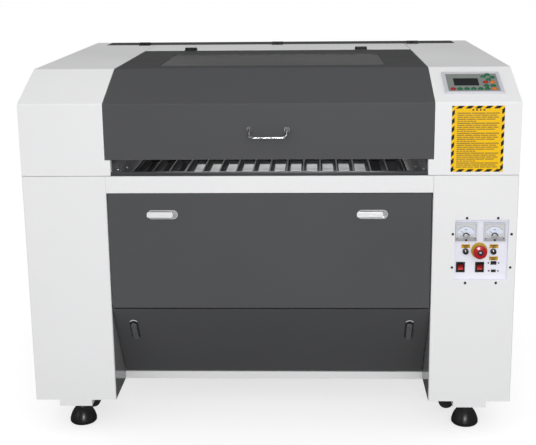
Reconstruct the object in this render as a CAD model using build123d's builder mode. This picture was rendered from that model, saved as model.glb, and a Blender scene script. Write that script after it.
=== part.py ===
"""Floor-standing CO2 laser cutter: cabinet, lid, doors, gantry, laser tube and controls.

Frame: millimetres, +X to the operator's right, +Y to the back, +Z up.
Origin: centre of the footprint, on the floor.
"""
from build123d import *
import os

os.makedirs("parts", exist_ok=True)

# ---------------------------------------------------------------- driving dimensions
WIDTH = 1450.0            # over the two pedestals
DEPTH = 1180.0            # front face to back face
TOP = 1104.0              # flat top of lid and housings
FOLD = 1025.0             # top of the vertical front, where the slope begins
SLOPE_DEPTH = 209.0       # the slope ends this far behind the front face
SEAM = 814.3              # joint between the base cabinet and the upper housings
SEAM_GAP = 2.0            # open groove at that joint
BASE = 110.0              # underside of the pedestals above the floor
SHEET = 2.0               # folded steel sheet
BEND = 4.0                # outside radius of the folds

MIDDLE = 478.0            # half width between the two pedestals
DOOR_HALF = 474.0
DOOR_TOP = 760.0
DOOR_FOLD = 405.0         # the upper door ends and the sloping lower door begins
DOOR_FOOT = 138.0         # bottom edge of the lower door
TOE_DEPTH = 168.0         # how far the lower door leans back at its foot
DOOR_DEPTH = 18.0         # folded returns of both doors
DOOR_SHEET = 1.5

LID_HALF = 476.0
LID_FOOT = 862.0          # bottom edge of the lid, above the pass-through slit
LID_REAR = 802.0          # rear edge of the lid behind the front face
LID_RETURN = 22.0
WINDOW_HALF = 353.0
WINDOW_FRONT = 283.0
WINDOW_REAR = 648.0
REAR_COVER_HALF = 667.0
REAR_COVER_FRONT = 1054.0
REAR_COVER_DROP = 60.0

HANDLE_OUT = 36.0         # bow handle of the lid in front of the front face
COLLAR_LENGTH = HANDLE_OUT  # exhaust collar behind the back, so that the origin is in the middle

FRONT = -DEPTH / 2
BACK = DEPTH / 2
PEDESTAL_WIDTH = WIDTH / 2 - MIDDLE
PEDESTAL_TOP = SEAM - SEAM_GAP
SIDES = (("left", -1), ("right", 1))

# Hinges of the lid and of the rear cover: axis just above the top sheet
HINGE_Z = TOP + 6.0
HINGE_WIDTH = 42.0
KNUCKLE_R = 5.0
HINGE_PIN_R = 2.0
HINGE_BORE_R = 2.05
LEAF_LENGTH = 24.0
LEAF_THICK = 3.0
LID_HINGES = (-312.0, 300.0)
LID_HINGE_Y = FRONT + LID_REAR + 3.0
COVER_HINGES = (-517.0, -8.0, 505.0)
COVER_HINGE_Y = FRONT + REAR_COVER_FRONT - 3.0

# Flush latches of the doors
TRAY_LENGTH = 90.0
TRAY_HEIGHT = 27.0
TRAY_DEPTH = 10.0
LEVER_LENGTH = 77.0
LEVER_HEIGHT = 17.0
LATCH_SHAFT_R = 6.0
LATCH_BORE_R = 6.05
LATCH_PIVOT = -TRAY_LENGTH / 2 + 12.0   # from the middle of the tray
UPPER_LATCH_X = (-314.0, 302.5)
UPPER_LATCH_Z = 697.0
LOWER_LATCH_X = 420.0
LOWER_LATCH_DOWN = 98.0                 # from the fold to the middle of the tray, along the slope

# Pivot pins at the foot of each door, as distance behind the front face and height
UPPER_PIVOT = (5.0, DOOR_FOLD + 5.0)
LOWER_PIVOT = (TOE_DEPTH + 4.0, DOOR_FOOT + 3.5)
DOOR_PIN_R = 2.0
DOOR_PIN_REACH = MIDDLE + 2.5           # outer end of the pins, inside the pedestal's wall

# Feet and castors
FOOT_X = 603.0
FOOT_FRONT = 90.0
FOOT_R = 41.5
CASTOR_X = 575.0
CASTOR_FRONT = 193.0
CASTOR_TRAIL = 18.0
WHEEL_R = 25.0
WHEEL_WIDTH = 20.0
WHEEL_LIFT = 2.0
STEM_R = 6.0

# Instrument recess in the right pedestal
RECESS_X = (543.5, 701.5)
RECESS_Z = (495.0, 680.0)
RECESS_DEPTH = 12.0
PANEL_Y = FRONT + RECESS_DEPTH          # face of the instrument plate
METER_X = (577.5, 661.0)
METER_Z = 642.0
METER_SIZE = (63.0, 56.0)
METER_PIVOT_Z = METER_Z - 14.0
ESTOP = (618.0, 584.0)
KNOB_X = (578.0, 659.5)
KNOB_Z = 581.5
ROCKER_X = (564.3, 620.8)
ROCKER_Z = 532.7
ROCKER_TILT = 8.0
PORTS = ((661.5, 545.5, 17.0, 11.0), (662.0, 521.0, 14.0, 8.0))
PANEL_SCREWS = ((578, 685), (668.5, 685), (538, 636.5), (709, 636.5),
                (538, 535), (709, 535), (578, 487), (668.5, 487))

# Controller on the slope of the right housing
CONTROL_X = 597.0
CONTROL_S = 115.0                       # along the slope from the fold
CONTROL_OUTER = (170.0, 130.0)
CONTROL_INNER = (149.0, 112.0)
SCREEN_SIZE = (73.0, 47.0)
SCREEN_AT = (-18.0, 5.0)
KEY_SIZE = (15.5, 14.0)
KEY_ROW = tuple(-60.2 + 19.8 * i for i in range(7))
KEY_ROW_Y = -39.5
KEY_CLUSTER = ((35.6, 36.2), (49.2, 48.0), (61.9, 31.6), (49.2, 16.5),
               (38.3, 1.0), (59.1, 1.0), (38.8, -20.6), (58.2, -20.6))

# Motion system
BED_TOP = 812.0
SLAT_PITCH = 50.0
SLAT_COUNT = 17
BED_DEEP = 30.0                         # depth of the bed frame and of its slats
BED_FRONT = 26.0
BED_LENGTH = 700.0
BED_HALF = 456.0
BED_LEDGE = 408.0                       # inner edge of the plates beside the slats
RAIL_X = 540.0
RAIL_TOP = 870.0
GANTRY_Y = FRONT + 745.0                # beam at its parked place
BEAM_LOW = 896.0
BEAM_HIGH = 936.0
HEAD_X = -430.0                         # head at its parked place
BEAM_LINE_Z = 985.0                     # height of the laser beam
TUBE_Y = FRONT + 1118.0
TUBE_X = (-590.0, 640.0)
TUBE_R = 30.0
MIRROR_X = -640.0
SHAFT_Y = FRONT + 985.0
SHAFT_Z = 860.0
PULLEY_R = 16.0


def block(x, y, z, mode=Mode.ADD):
    """A box given by its lowest and highest values along each axis."""
    with Locations(((x[0] + x[1]) / 2, (y[0] + y[1]) / 2, (z[0] + z[1]) / 2)):
        Box(x[1] - x[0], y[1] - y[0], z[1] - z[0], mode=mode)


def rod(x, y, z, radius, axis, length, mode=Mode.ADD):
    """A cylinder centred on a point, along X, Y or Z."""
    turn = {"X": (0, 90, 0), "Y": (90, 0, 0), "Z": (0, 0, 0)}[axis]
    with Locations((x, y, z)):
        Cylinder(radius, length, rotation=turn, mode=mode)


def door_pins(pivot):
    """The two pins that stick out of a door's sides into the pedestals."""
    length = DOOR_PIN_REACH - DOOR_HALF + DOOR_SHEET
    for end in (-1, 1):
        rod(end * (DOOR_PIN_REACH - length / 2), FRONT + pivot[0], pivot[1], DOOR_PIN_R, "X", length)


def mirrored(side, low, high):
    """The X range between two half widths, on the left (-1) or right (1)."""
    return (low, high) if side > 0 else (-high, -low)


# ---------------------------------------------------------------- pedestals
# Folded box of sheet steel with a closed top, a foot bracket at each end underneath,
# and a socket for the castor stem beside each bracket.
BRACKET_X = (FOOT_X - 50.0, FOOT_X + 50.0)
BRACKET_LENGTH = 140.0
BRACKET_DROP = 20.0

for side_name, side in SIDES:
    with BuildPart() as pedestal:
        block(mirrored(side, MIDDLE, WIDTH / 2), (FRONT, BACK), (BASE, PEDESTAL_TOP))
        fillet(pedestal.edges().filter_by(Axis.Z), BEND)
        block(mirrored(side, MIDDLE + SHEET, WIDTH / 2 - SHEET), (FRONT + SHEET, BACK - SHEET),
              (BASE + SHEET, SEAM), mode=Mode.SUBTRACT)
        # closing plate set in from the faces, so that the joint shows as a groove
        block(mirrored(side, MIDDLE + SHEET, WIDTH / 2 - SHEET), (FRONT + SHEET, BACK - SHEET),
              (PEDESTAL_TOP - SHEET, PEDESTAL_TOP))
        block(mirrored(side, MIDDLE + 6, WIDTH / 2 - 6), (FRONT + 6, BACK - 6), (PEDESTAL_TOP - SHEET, SEAM))
        for end in (-1, 1):
            bracket_y = sorted((end * BACK, end * (BACK - BRACKET_LENGTH)))
            inner_y = sorted((end * (BACK - SHEET), end * (BACK - BRACKET_LENGTH + SHEET)))
            block(mirrored(side, *BRACKET_X), bracket_y, (BASE - BRACKET_DROP, BASE))
            block(mirrored(side, BRACKET_X[0] + SHEET, BRACKET_X[1] - SHEET), inner_y,
                  (BASE - BRACKET_DROP + 3, BASE), mode=Mode.SUBTRACT)
            rod(side * FOOT_X, end * (BACK - FOOT_FRONT), BASE - BRACKET_DROP, STEM_R + 0.2, "Z", 12,
                mode=Mode.SUBTRACT)
            castor_y = end * (BACK - CASTOR_FRONT)
            rod(side * CASTOR_X, castor_y, BASE - 14, 11, "Z", 28)
            rod(side * CASTOR_X, castor_y, BASE - 14, STEM_R + 0.05, "Z", 28, mode=Mode.SUBTRACT)
        if side > 0:
            block(RECESS_X, (FRONT - 1, FRONT + SHEET + 1), RECESS_Z, mode=Mode.SUBTRACT)
            for screw_x, screw_z in PANEL_SCREWS:
                rod(screw_x, FRONT, screw_z, 2.2, "Y", 10, mode=Mode.SUBTRACT)
            block((593, 643), (BACK - SHEET - 1, BACK + 1), (186, 216), mode=Mode.SUBTRACT)
        for pivot_depth, pivot_z in (UPPER_PIVOT, LOWER_PIVOT):
            rod(side * (MIDDLE + 1), FRONT + pivot_depth, pivot_z, DOOR_PIN_R + 0.05, "X", 8,
                mode=Mode.SUBTRACT)
    pedestal.part.label = f"{side_name}_pedestal"
    export_step(pedestal.part, f"parts/{side_name}_pedestal.step")

# ---------------------------------------------------------------- frame between the pedestals
# White band under the slit, low rail under the lower door, and the floor plate behind it.
RAIL_HIGH = DOOR_FOOT - 3.5
with BuildPart() as cabinet_frame:
    block((-MIDDLE, MIDDLE), (FRONT, FRONT + 40), (DOOR_TOP + 2, PEDESTAL_TOP))
    block((-MIDDLE, MIDDLE), (FRONT + SHEET, FRONT + 41), (DOOR_TOP + 2 + SHEET, PEDESTAL_TOP - SHEET),
          mode=Mode.SUBTRACT)
    block((-MIDDLE, MIDDLE), (FRONT + TOE_DEPTH, FRONT + TOE_DEPTH + 40), (BASE, RAIL_HIGH))
    block((-MIDDLE, MIDDLE), (FRONT + TOE_DEPTH + SHEET, FRONT + TOE_DEPTH + 41),
          (BASE + SHEET, RAIL_HIGH - SHEET), mode=Mode.SUBTRACT)
    block((-MIDDLE, MIDDLE), (FRONT + TOE_DEPTH + 40, BACK - SHEET), (BASE, BASE + SHEET))
cabinet_frame.part.label = "cabinet_frame"
export_step(cabinet_frame.part, "parts/cabinet_frame.step")

# Back sheet with the round collar for the exhaust hose.
COLLAR_Z = 640.0
COLLAR_R = 75.0
with BuildPart() as back_panel:
    block((-MIDDLE, MIDDLE), (BACK - SHEET, BACK), (BASE, PEDESTAL_TOP))
    rod(0, BACK + COLLAR_LENGTH / 2, COLLAR_Z, COLLAR_R, "Y", COLLAR_LENGTH)
    rod(0, BACK + COLLAR_LENGTH / 2, COLLAR_Z, COLLAR_R - 1.5, "Y", COLLAR_LENGTH + 20, mode=Mode.SUBTRACT)
back_panel.part.label = "back_panel"
export_step(back_panel.part, "parts/back_panel.step")

# Shallow hopper tray under the slats: a flat floor, four sloping sides, and a lip on each
# side that hangs on the pedestals.
TRAY_RIM_HALF = 470.0
TRAY_FLOOR_HALF = 308.0
TRAY_RIM_Y = (FRONT + 56.0, FRONT + 724.0)
TRAY_FLOOR_Y = (FRONT + 90.0, FRONT + 650.0)
TRAY_FLOOR_Z = 712.0
TRAY_RIM_Z = BED_TOP - BED_DEEP
with BuildPart() as scrap_tray:
    for inset, lift, mode in ((0, 0, Mode.ADD), (SHEET, SHEET, Mode.SUBTRACT)):
        levels = ((TRAY_FLOOR_Z + lift, TRAY_FLOOR_HALF, TRAY_FLOOR_Y),
                  (TRAY_RIM_Z, TRAY_RIM_HALF, TRAY_RIM_Y))
        for level, half, (y_low, y_high) in levels:
            with BuildSketch(Plane.XY.offset(level)):
                with Locations((0, (y_low + y_high) / 2)):
                    Rectangle(2 * (half - inset), y_high - y_low - 2 * inset)
        loft(mode=mode)
    for side_name, side in SIDES:
        block(mirrored(side, TRAY_RIM_HALF - SHEET, MIDDLE), TRAY_RIM_Y, (TRAY_RIM_Z - SHEET, TRAY_RIM_Z))
scrap_tray.part.label = "scrap_tray"
export_step(scrap_tray.part, "parts/scrap_tray.step")

# ---------------------------------------------------------------- upper side housings
# Sheet shells with the same nose as the lid, open towards the work chamber, with a
# stiffening lip round that opening and a notch at the top rear for the rear cover.
HOUSING_NOSE = [(FRONT, SEAM), (FRONT, FOLD), (FRONT + SLOPE_DEPTH, TOP), (BACK, TOP), (BACK, SEAM)]
FLANGE_HALF = 462.0
NOTCH_Y = REAR_COVER_FRONT - 2.0

for side_name, side in SIDES:
    outer_x = mirrored(side, MIDDLE, WIDTH / 2)
    with BuildPart() as housing:
        with BuildSketch(Plane.YZ.offset(outer_x[0])):
            Polygon(*HOUSING_NOSE, align=None)
            fillet(vertices().sort_by(Axis.Y)[2:], BEND)
        extrude(amount=PEDESTAL_WIDTH)
        with BuildSketch(Plane.YZ.offset(outer_x[0] + (SHEET if side < 0 else -1))):
            Polygon(*HOUSING_NOSE, align=None)
            offset(amount=-SHEET, kind=Kind.INTERSECTION)
            with Locations(((FRONT + BACK) / 2, SEAM)):
                Rectangle(DEPTH - 2 * SHEET, 2 * SHEET)
        extrude(amount=PEDESTAL_WIDTH - SHEET + 1, mode=Mode.SUBTRACT)
        with BuildSketch(Plane.YZ.offset(side * MIDDLE if side > 0 else -MIDDLE - SHEET)):
            Polygon(*HOUSING_NOSE, align=None)
            offset(amount=-SHEET / 2, kind=Kind.INTERSECTION)
            offset(amount=-15, kind=Kind.INTERSECTION, mode=Mode.SUBTRACT)
        extrude(amount=SHEET)
        block(mirrored(side, FLANGE_HALF, MIDDLE + 1), (FRONT, FRONT + SHEET), (SEAM, LID_FOOT - 2))
        block(mirrored(side, FLANGE_HALF, FLANGE_HALF + SHEET), (FRONT, FRONT + 20), (SEAM, LID_FOOT - 2))
        block(mirrored(side, MIDDLE - 5, REAR_COVER_HALF + 2), (FRONT + NOTCH_Y, BACK + 1),
              (TOP - REAR_COVER_DROP - 2, TOP + 1), mode=Mode.SUBTRACT)
    housing.part.label = f"{side_name}_side_housing"
    export_step(housing.part, f"parts/{side_name}_side_housing.step")

# Rear housing: the fixed strip behind the lid with the bulkhead that screens the laser
# tube, two end bulkheads with a hole for the tube, and the rear sheet under the cover.
REAR_HALF = 475.5
with BuildPart() as rear_housing:
    strip_front = FRONT + LID_REAR + 6.0
    block((-REAR_HALF, REAR_HALF), (strip_front, FRONT + NOTCH_Y), (TOP - 20, TOP))
    block((-REAR_HALF, REAR_HALF), (strip_front + SHEET, FRONT + NOTCH_Y - SHEET), (TOP - 21, TOP - SHEET),
          mode=Mode.SUBTRACT)
    block((-REAR_HALF, REAR_HALF), (FRONT + NOTCH_Y - SHEET, FRONT + NOTCH_Y), (900, TOP))
    block((-REAR_HALF, REAR_HALF), (BACK - SHEET, BACK), (SEAM, TOP - REAR_COVER_DROP - 2))
    for side_name, side in SIDES:
        bulkhead_x = mirrored(side, REAR_HALF - SHEET, REAR_HALF)
        block(bulkhead_x, (FRONT + NOTCH_Y - SHEET, BACK), (900, TOP - REAR_COVER_DROP - 2))
        rod(side * REAR_HALF, TUBE_Y, BEAM_LINE_Z, 44, "X", 12, mode=Mode.SUBTRACT)
rear_housing.part.label = "rear_housing"
export_step(rear_housing.part, "parts/rear_housing.step")


# ---------------------------------------------------------------- hinges
def fixed_half(x, y, to_back):
    """Screwed leaf with the two outer knuckles; the leaf lies behind the axis if to_back is 1."""
    leaf_y = sorted((y + to_back * 6.5, y + to_back * LEAF_LENGTH))
    block((x - HINGE_WIDTH / 2, x + HINGE_WIDTH / 2), leaf_y, (TOP, TOP + LEAF_THICK))
    for end in (-1, 1):
        knuckle_x = x + end * (HINGE_WIDTH / 2 - 6)
        block((knuckle_x - 6, knuckle_x + 6), sorted((y, y + to_back * 7)),
              (TOP + 1.0, TOP + LEAF_THICK + 1))
        rod(knuckle_x, y, HINGE_Z, KNUCKLE_R, "X", 12)
        rod(knuckle_x, y, HINGE_Z, HINGE_BORE_R, "X", 13, mode=Mode.SUBTRACT)


def moving_half(x, y, to_back):
    """The other leaf with the middle knuckle and the pin that runs in the outer two."""
    middle = HINGE_WIDTH / 2 - 12.3
    leaf_y = sorted((y + to_back * 6.5, y + to_back * LEAF_LENGTH))
    block((x - HINGE_WIDTH / 2, x + HINGE_WIDTH / 2), leaf_y, (TOP, TOP + LEAF_THICK))
    block((x - middle, x + middle), sorted((y, y + to_back * 7)), (TOP + 1.0, TOP + LEAF_THICK + 1))
    rod(x, y, HINGE_Z, KNUCKLE_R, "X", 2 * middle)
    rod(x, y, HINGE_Z, HINGE_PIN_R, "X", HINGE_WIDTH + 1)


with BuildPart() as hinge_bases:
    for hinge_x in LID_HINGES:
        fixed_half(hinge_x, LID_HINGE_Y + 3, 1)
    for hinge_x in COVER_HINGES:
        fixed_half(hinge_x, COVER_HINGE_Y, -1)
hinge_bases.part.label = "hinge_bases"
export_step(hinge_bases.part, "parts/hinge_bases.step")

with BuildPart() as lid_hinge_leaves:
    for hinge_x in LID_HINGES:
        moving_half(hinge_x, LID_HINGE_Y + 3, -1)
lid_hinge_leaves.part.label = "lid_hinge_leaves"
export_step(lid_hinge_leaves.part, "parts/lid_hinge_leaves.step")

with BuildPart() as rear_cover_hinge_leaves:
    for hinge_x in COVER_HINGES:
        moving_half(hinge_x, COVER_HINGE_Y, 1)
rear_cover_hinge_leaves.part.label = "rear_cover_hinge_leaves"
export_step(rear_cover_hinge_leaves.part, "parts/rear_cover_hinge_leaves.step")

# ---------------------------------------------------------------- lid
LID_OUTLINE = [(FRONT, LID_FOOT), (FRONT, FOLD), (FRONT + SLOPE_DEPTH, TOP), (FRONT + LID_REAR, TOP),
               (FRONT + LID_REAR, TOP - LID_RETURN), (FRONT + SLOPE_DEPTH + 4, TOP - LID_RETURN),
               (FRONT + LID_RETURN, FOLD - 14), (FRONT + LID_RETURN, LID_FOOT)]
LID_HOLLOW = [(FRONT + SHEET, LID_FOOT + SHEET), (FRONT + SHEET, FOLD - 1.4),
              (FRONT + SLOPE_DEPTH + 0.4, TOP - SHEET), (FRONT + LID_REAR - SHEET, TOP - SHEET),
              (FRONT + LID_REAR - SHEET, TOP - 60), (FRONT + SLOPE_DEPTH + 20, TOP - 60),
              (FRONT + 60, FOLD - 60), (FRONT + 60, LID_FOOT + SHEET)]
HANDLE_X = 54.0
HANDLE_Z = 950.0
HANDLE_DROP = 20.0
HANDLE_R = 5.0

with BuildPart() as main_lid:
    with BuildSketch(Plane.YZ.offset(-LID_HALF)):
        Polygon(*LID_OUTLINE, align=None)
        fillet(vertices().sort_by(Axis.X)[0:2].sort_by(Axis.Y)[-1], BEND)
        fillet(vertices().group_by(Axis.Y)[-1].sort_by(Axis.X)[0], BEND)
    extrude(amount=2 * LID_HALF)
    with BuildSketch(Plane.YZ.offset(-LID_HALF + SHEET)):
        Polygon(*LID_HOLLOW, align=None)
    extrude(amount=2 * (LID_HALF - SHEET), mode=Mode.SUBTRACT)
    window_middle = FRONT + (WINDOW_FRONT + WINDOW_REAR) / 2
    with BuildSketch(Plane((0, window_middle, TOP - 10))):
        RectangleRounded(2 * WINDOW_HALF, WINDOW_REAR - WINDOW_FRONT, 20)
    extrude(amount=20, mode=Mode.SUBTRACT)
    for end in (-1, 1):
        rod(end * HANDLE_X, FRONT, HANDLE_Z, 3, "Y", 20, mode=Mode.SUBTRACT)
main_lid.part.label = "main_lid"
export_step(main_lid.part, "parts/main_lid.step")

# Smoked acrylic pane bonded under the lid sheet.
with BuildPart() as lid_window:
    with BuildSketch(Plane((0, window_middle, TOP - SHEET - 3))):
        RectangleRounded(2 * WINDOW_HALF + 30, WINDOW_REAR - WINDOW_FRONT + 30, 20)
    extrude(amount=3)
lid_window.part.label = "lid_window"
export_step(lid_window.part, "parts/lid_window.step")

# Chrome bow handle: two feet on the lid and a drooping bar, screwed from inside.
with BuildPart() as lid_handle:
    with BuildLine():
        FilletPolyline((-HANDLE_X, FRONT - 4, HANDLE_Z),
                       (-HANDLE_X, FRONT - HANDLE_OUT + HANDLE_R, HANDLE_Z - HANDLE_DROP),
                       (HANDLE_X, FRONT - HANDLE_OUT + HANDLE_R, HANDLE_Z - HANDLE_DROP),
                       (HANDLE_X, FRONT - 4, HANDLE_Z), radius=12)
    with BuildSketch(Plane((-HANDLE_X, FRONT - 4, HANDLE_Z), x_dir=(1, 0, 0),
                           z_dir=(0, -HANDLE_OUT + HANDLE_R + 4, -HANDLE_DROP))):
        Circle(HANDLE_R)
    sweep()
    for end in (-1, 1):
        rod(end * HANDLE_X, FRONT - 2.5, HANDLE_Z, 8.5, "Y", 5)
        rod(end * HANDLE_X, FRONT + 3, HANDLE_Z, 2.9, "Y", 14)
lid_handle.part.label = "lid_handle"
export_step(lid_handle.part, "parts/lid_handle.step")

# ---------------------------------------------------------------- rear cover
with BuildPart() as rear_cover:
    block((-REAR_COVER_HALF, REAR_COVER_HALF), (FRONT + REAR_COVER_FRONT, BACK),
          (TOP - REAR_COVER_DROP, TOP))
    fillet(rear_cover.edges().filter_by(Axis.X).sort_by(Axis.Z)[-2:].sort_by(Axis.Y)[-1], BEND)
    block((-REAR_COVER_HALF + SHEET, REAR_COVER_HALF - SHEET),
          (FRONT + REAR_COVER_FRONT + SHEET, BACK - SHEET), (TOP - REAR_COVER_DROP - 1, TOP - SHEET),
          mode=Mode.SUBTRACT)
    block((-REAR_COVER_HALF - 1, REAR_COVER_HALF + 1), (FRONT + REAR_COVER_FRONT - 1, BACK - SHEET - 1),
          (TOP - REAR_COVER_DROP - 1, TOP - 14), mode=Mode.SUBTRACT)
rear_cover.part.label = "rear_cover"
export_step(rear_cover.part, "parts/rear_cover.step")

# ---------------------------------------------------------------- doors
LOWER_UP = Vector(0, -TOE_DEPTH, DOOR_FOLD - 1 - DOOR_FOOT).normalized()
LOWER_OUT = Vector(1, 0, 0).cross(LOWER_UP)


def upper_latch_plane(x):
    """Middle of a tray on the upper door, local X to the right and local Z outwards."""
    return Plane((x, FRONT, UPPER_LATCH_Z), x_dir=(1, 0, 0), z_dir=(0, -1, 0))


def lower_latch_plane(x):
    """Middle of a tray on the sloping door, local X up the slope and local Z outwards."""
    middle = Vector(x, FRONT, DOOR_FOLD - 1) - LOWER_UP * LOWER_LATCH_DOWN
    return Plane(middle, x_dir=LOWER_UP, z_dir=LOWER_OUT)


UPPER_LATCHES = [upper_latch_plane(x) for x in UPPER_LATCH_X]
LOWER_LATCHES = [lower_latch_plane(x) for x in (-LOWER_LATCH_X, LOWER_LATCH_X)]
TRAY_CUT = 1.2            # the tray wall stands this far inside the tray's rim

with BuildPart() as upper_door:
    block((-DOOR_HALF, DOOR_HALF), (FRONT, FRONT + DOOR_DEPTH), (DOOR_FOLD + 3, DOOR_TOP))
    fillet(upper_door.edges().group_by(Axis.Y)[0], 1.5)
    block((-DOOR_HALF + DOOR_SHEET, DOOR_HALF - DOOR_SHEET), (FRONT + DOOR_SHEET, FRONT + DOOR_DEPTH + 1),
          (DOOR_FOLD + 3 + DOOR_SHEET, DOOR_TOP - DOOR_SHEET), mode=Mode.SUBTRACT)
    with BuildSketch(*UPPER_LATCHES):
        SlotOverall(TRAY_LENGTH - 2 * TRAY_CUT, TRAY_HEIGHT - 2 * TRAY_CUT)
    extrude(amount=5, both=True, mode=Mode.SUBTRACT)
    door_pins(UPPER_PIVOT)
upper_door.part.label = "upper_door"
export_step(upper_door.part, "parts/upper_door.step")

LOWER_OUTLINE = [(FRONT, DOOR_FOLD - 1), (FRONT + DOOR_DEPTH, DOOR_FOLD - 1),
                 (FRONT + TOE_DEPTH + DOOR_DEPTH, DOOR_FOOT), (FRONT + TOE_DEPTH, DOOR_FOOT)]
LOWER_HOLLOW = [(FRONT + 1.8, DOOR_FOLD - 1 - DOOR_SHEET),
                (FRONT + DOOR_DEPTH + 5, DOOR_FOLD - 1 - DOOR_SHEET),
                (FRONT + TOE_DEPTH + DOOR_DEPTH + 5, DOOR_FOOT + DOOR_SHEET),
                (FRONT + TOE_DEPTH + 1.8, DOOR_FOOT + DOOR_SHEET)]
with BuildPart() as lower_door:
    with BuildSketch(Plane.YZ.offset(-DOOR_HALF)):
        Polygon(*LOWER_OUTLINE, align=None)
    extrude(amount=2 * DOOR_HALF)
    with BuildSketch(Plane.YZ.offset(-DOOR_HALF + DOOR_SHEET)):
        Polygon(*LOWER_HOLLOW, align=None)
    extrude(amount=2 * (DOOR_HALF - DOOR_SHEET), mode=Mode.SUBTRACT)
    with BuildSketch(*LOWER_LATCHES):
        SlotOverall(TRAY_LENGTH - 2 * TRAY_CUT, TRAY_HEIGHT - 2 * TRAY_CUT)
    extrude(amount=5, both=True, mode=Mode.SUBTRACT)
    door_pins(LOWER_PIVOT)
lower_door.part.label = "lower_door"
export_step(lower_door.part, "parts/lower_door.step")

# Pressed trays: a flange on the door face, a recess behind it, a bore for the lever shaft.
for door_name, planes in (("upper", UPPER_LATCHES), ("lower", LOWER_LATCHES)):
    with BuildPart(*planes) as latch_trays:
        with BuildSketch(*planes):
            SlotOverall(TRAY_LENGTH, TRAY_HEIGHT)
        extrude(amount=1.0)
        with BuildSketch(*planes):
            SlotOverall(TRAY_LENGTH - 2 * TRAY_CUT - 0.4, TRAY_HEIGHT - 2 * TRAY_CUT - 0.4)
        extrude(amount=-TRAY_DEPTH)
        with BuildSketch(*planes):
            SlotOverall(TRAY_LENGTH - 2 * TRAY_CUT - 2.8, TRAY_HEIGHT - 2 * TRAY_CUT - 2.8)
        extrude(amount=1.0, mode=Mode.SUBTRACT)
        with BuildSketch(*[plane.offset(1.0 - TRAY_DEPTH) for plane in planes]):
            SlotOverall(TRAY_LENGTH - 2 * TRAY_CUT - 2.8, TRAY_HEIGHT - 2 * TRAY_CUT - 2.8)
        extrude(amount=TRAY_DEPTH, mode=Mode.SUBTRACT)
        with Locations((LATCH_PIVOT, 0, -TRAY_DEPTH)):
            Cylinder(LATCH_BORE_R, 10, mode=Mode.SUBTRACT)
    latch_trays.part.label = f"{door_name}_latch_trays"
    export_step(latch_trays.part, f"parts/{door_name}_latch_trays.step")

# Levers: bar over the tray, shaft through the tray, cam behind the door.
LEVER_OUT = (2.0, 7.0)
CAM_Z = (-24.0, -21.0)
for door_name, planes in (("upper", UPPER_LATCHES), ("lower", LOWER_LATCHES)):
    for (side_name, side), plane in zip(SIDES, planes):
        with BuildPart(plane) as latch_lever:
            with BuildSketch(plane.offset(LEVER_OUT[0])):
                with Locations((-TRAY_LENGTH / 2 + LEVER_LENGTH / 2 - 1, 0)):
                    RectangleRounded(LEVER_LENGTH, LEVER_HEIGHT, 6)
            extrude(amount=LEVER_OUT[1] - LEVER_OUT[0])
            fillet(latch_lever.faces().sort_by(Axis(plane.origin, plane.z_dir))[-1].edges(), 1.5)
            with Locations((LATCH_PIVOT, 0, (LEVER_OUT[0] + CAM_Z[0]) / 2)):
                Cylinder(LATCH_SHAFT_R, LEVER_OUT[0] - CAM_Z[0])
            with Locations((LATCH_PIVOT + 11, 0, (CAM_Z[0] + CAM_Z[1]) / 2)):
                Box(34, 14, CAM_Z[1] - CAM_Z[0])
        latch_lever.part.label = f"{door_name}_latch_lever_{side_name}"
        export_step(latch_lever.part, f"parts/{door_name}_latch_lever_{side_name}.step")

# ---------------------------------------------------------------- feet and castors
# Levelling foot: domed rubber pad, threaded stem through the bracket, lock nut.
FOOT_HIGH = 52.0
FOOT_SPOTS = [(x * FOOT_X, y * (BACK - FOOT_FRONT)) for x in (-1, 1) for y in (-1, 1)]
with BuildPart() as levelling_feet:
    for foot_x, foot_y in FOOT_SPOTS:
        with BuildSketch(Plane((foot_x, foot_y, 0), x_dir=(1, 0, 0), z_dir=(0, -1, 0))):
            with BuildLine():
                Polyline((20, FOOT_HIGH), (0, FOOT_HIGH), (0, 0), (38, 0), (FOOT_R, 4), (FOOT_R, 12))
                ThreePointArc((FOOT_R, 12), (35, 31), (20, FOOT_HIGH))
            make_face()
        revolve(axis=Axis((foot_x, foot_y, 0), (0, 0, 1)))
        with BuildSketch(Plane((foot_x, foot_y, BASE - BRACKET_DROP - 9))):
            RegularPolygon(10, 6)
        extrude(amount=9)
        rod(foot_x, foot_y, (FOOT_HIGH + 105) / 2, STEM_R, "Z", 105 - FOOT_HIGH)
levelling_feet.part.label = "levelling_feet"
export_step(levelling_feet.part, "parts/levelling_feet.step")

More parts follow.
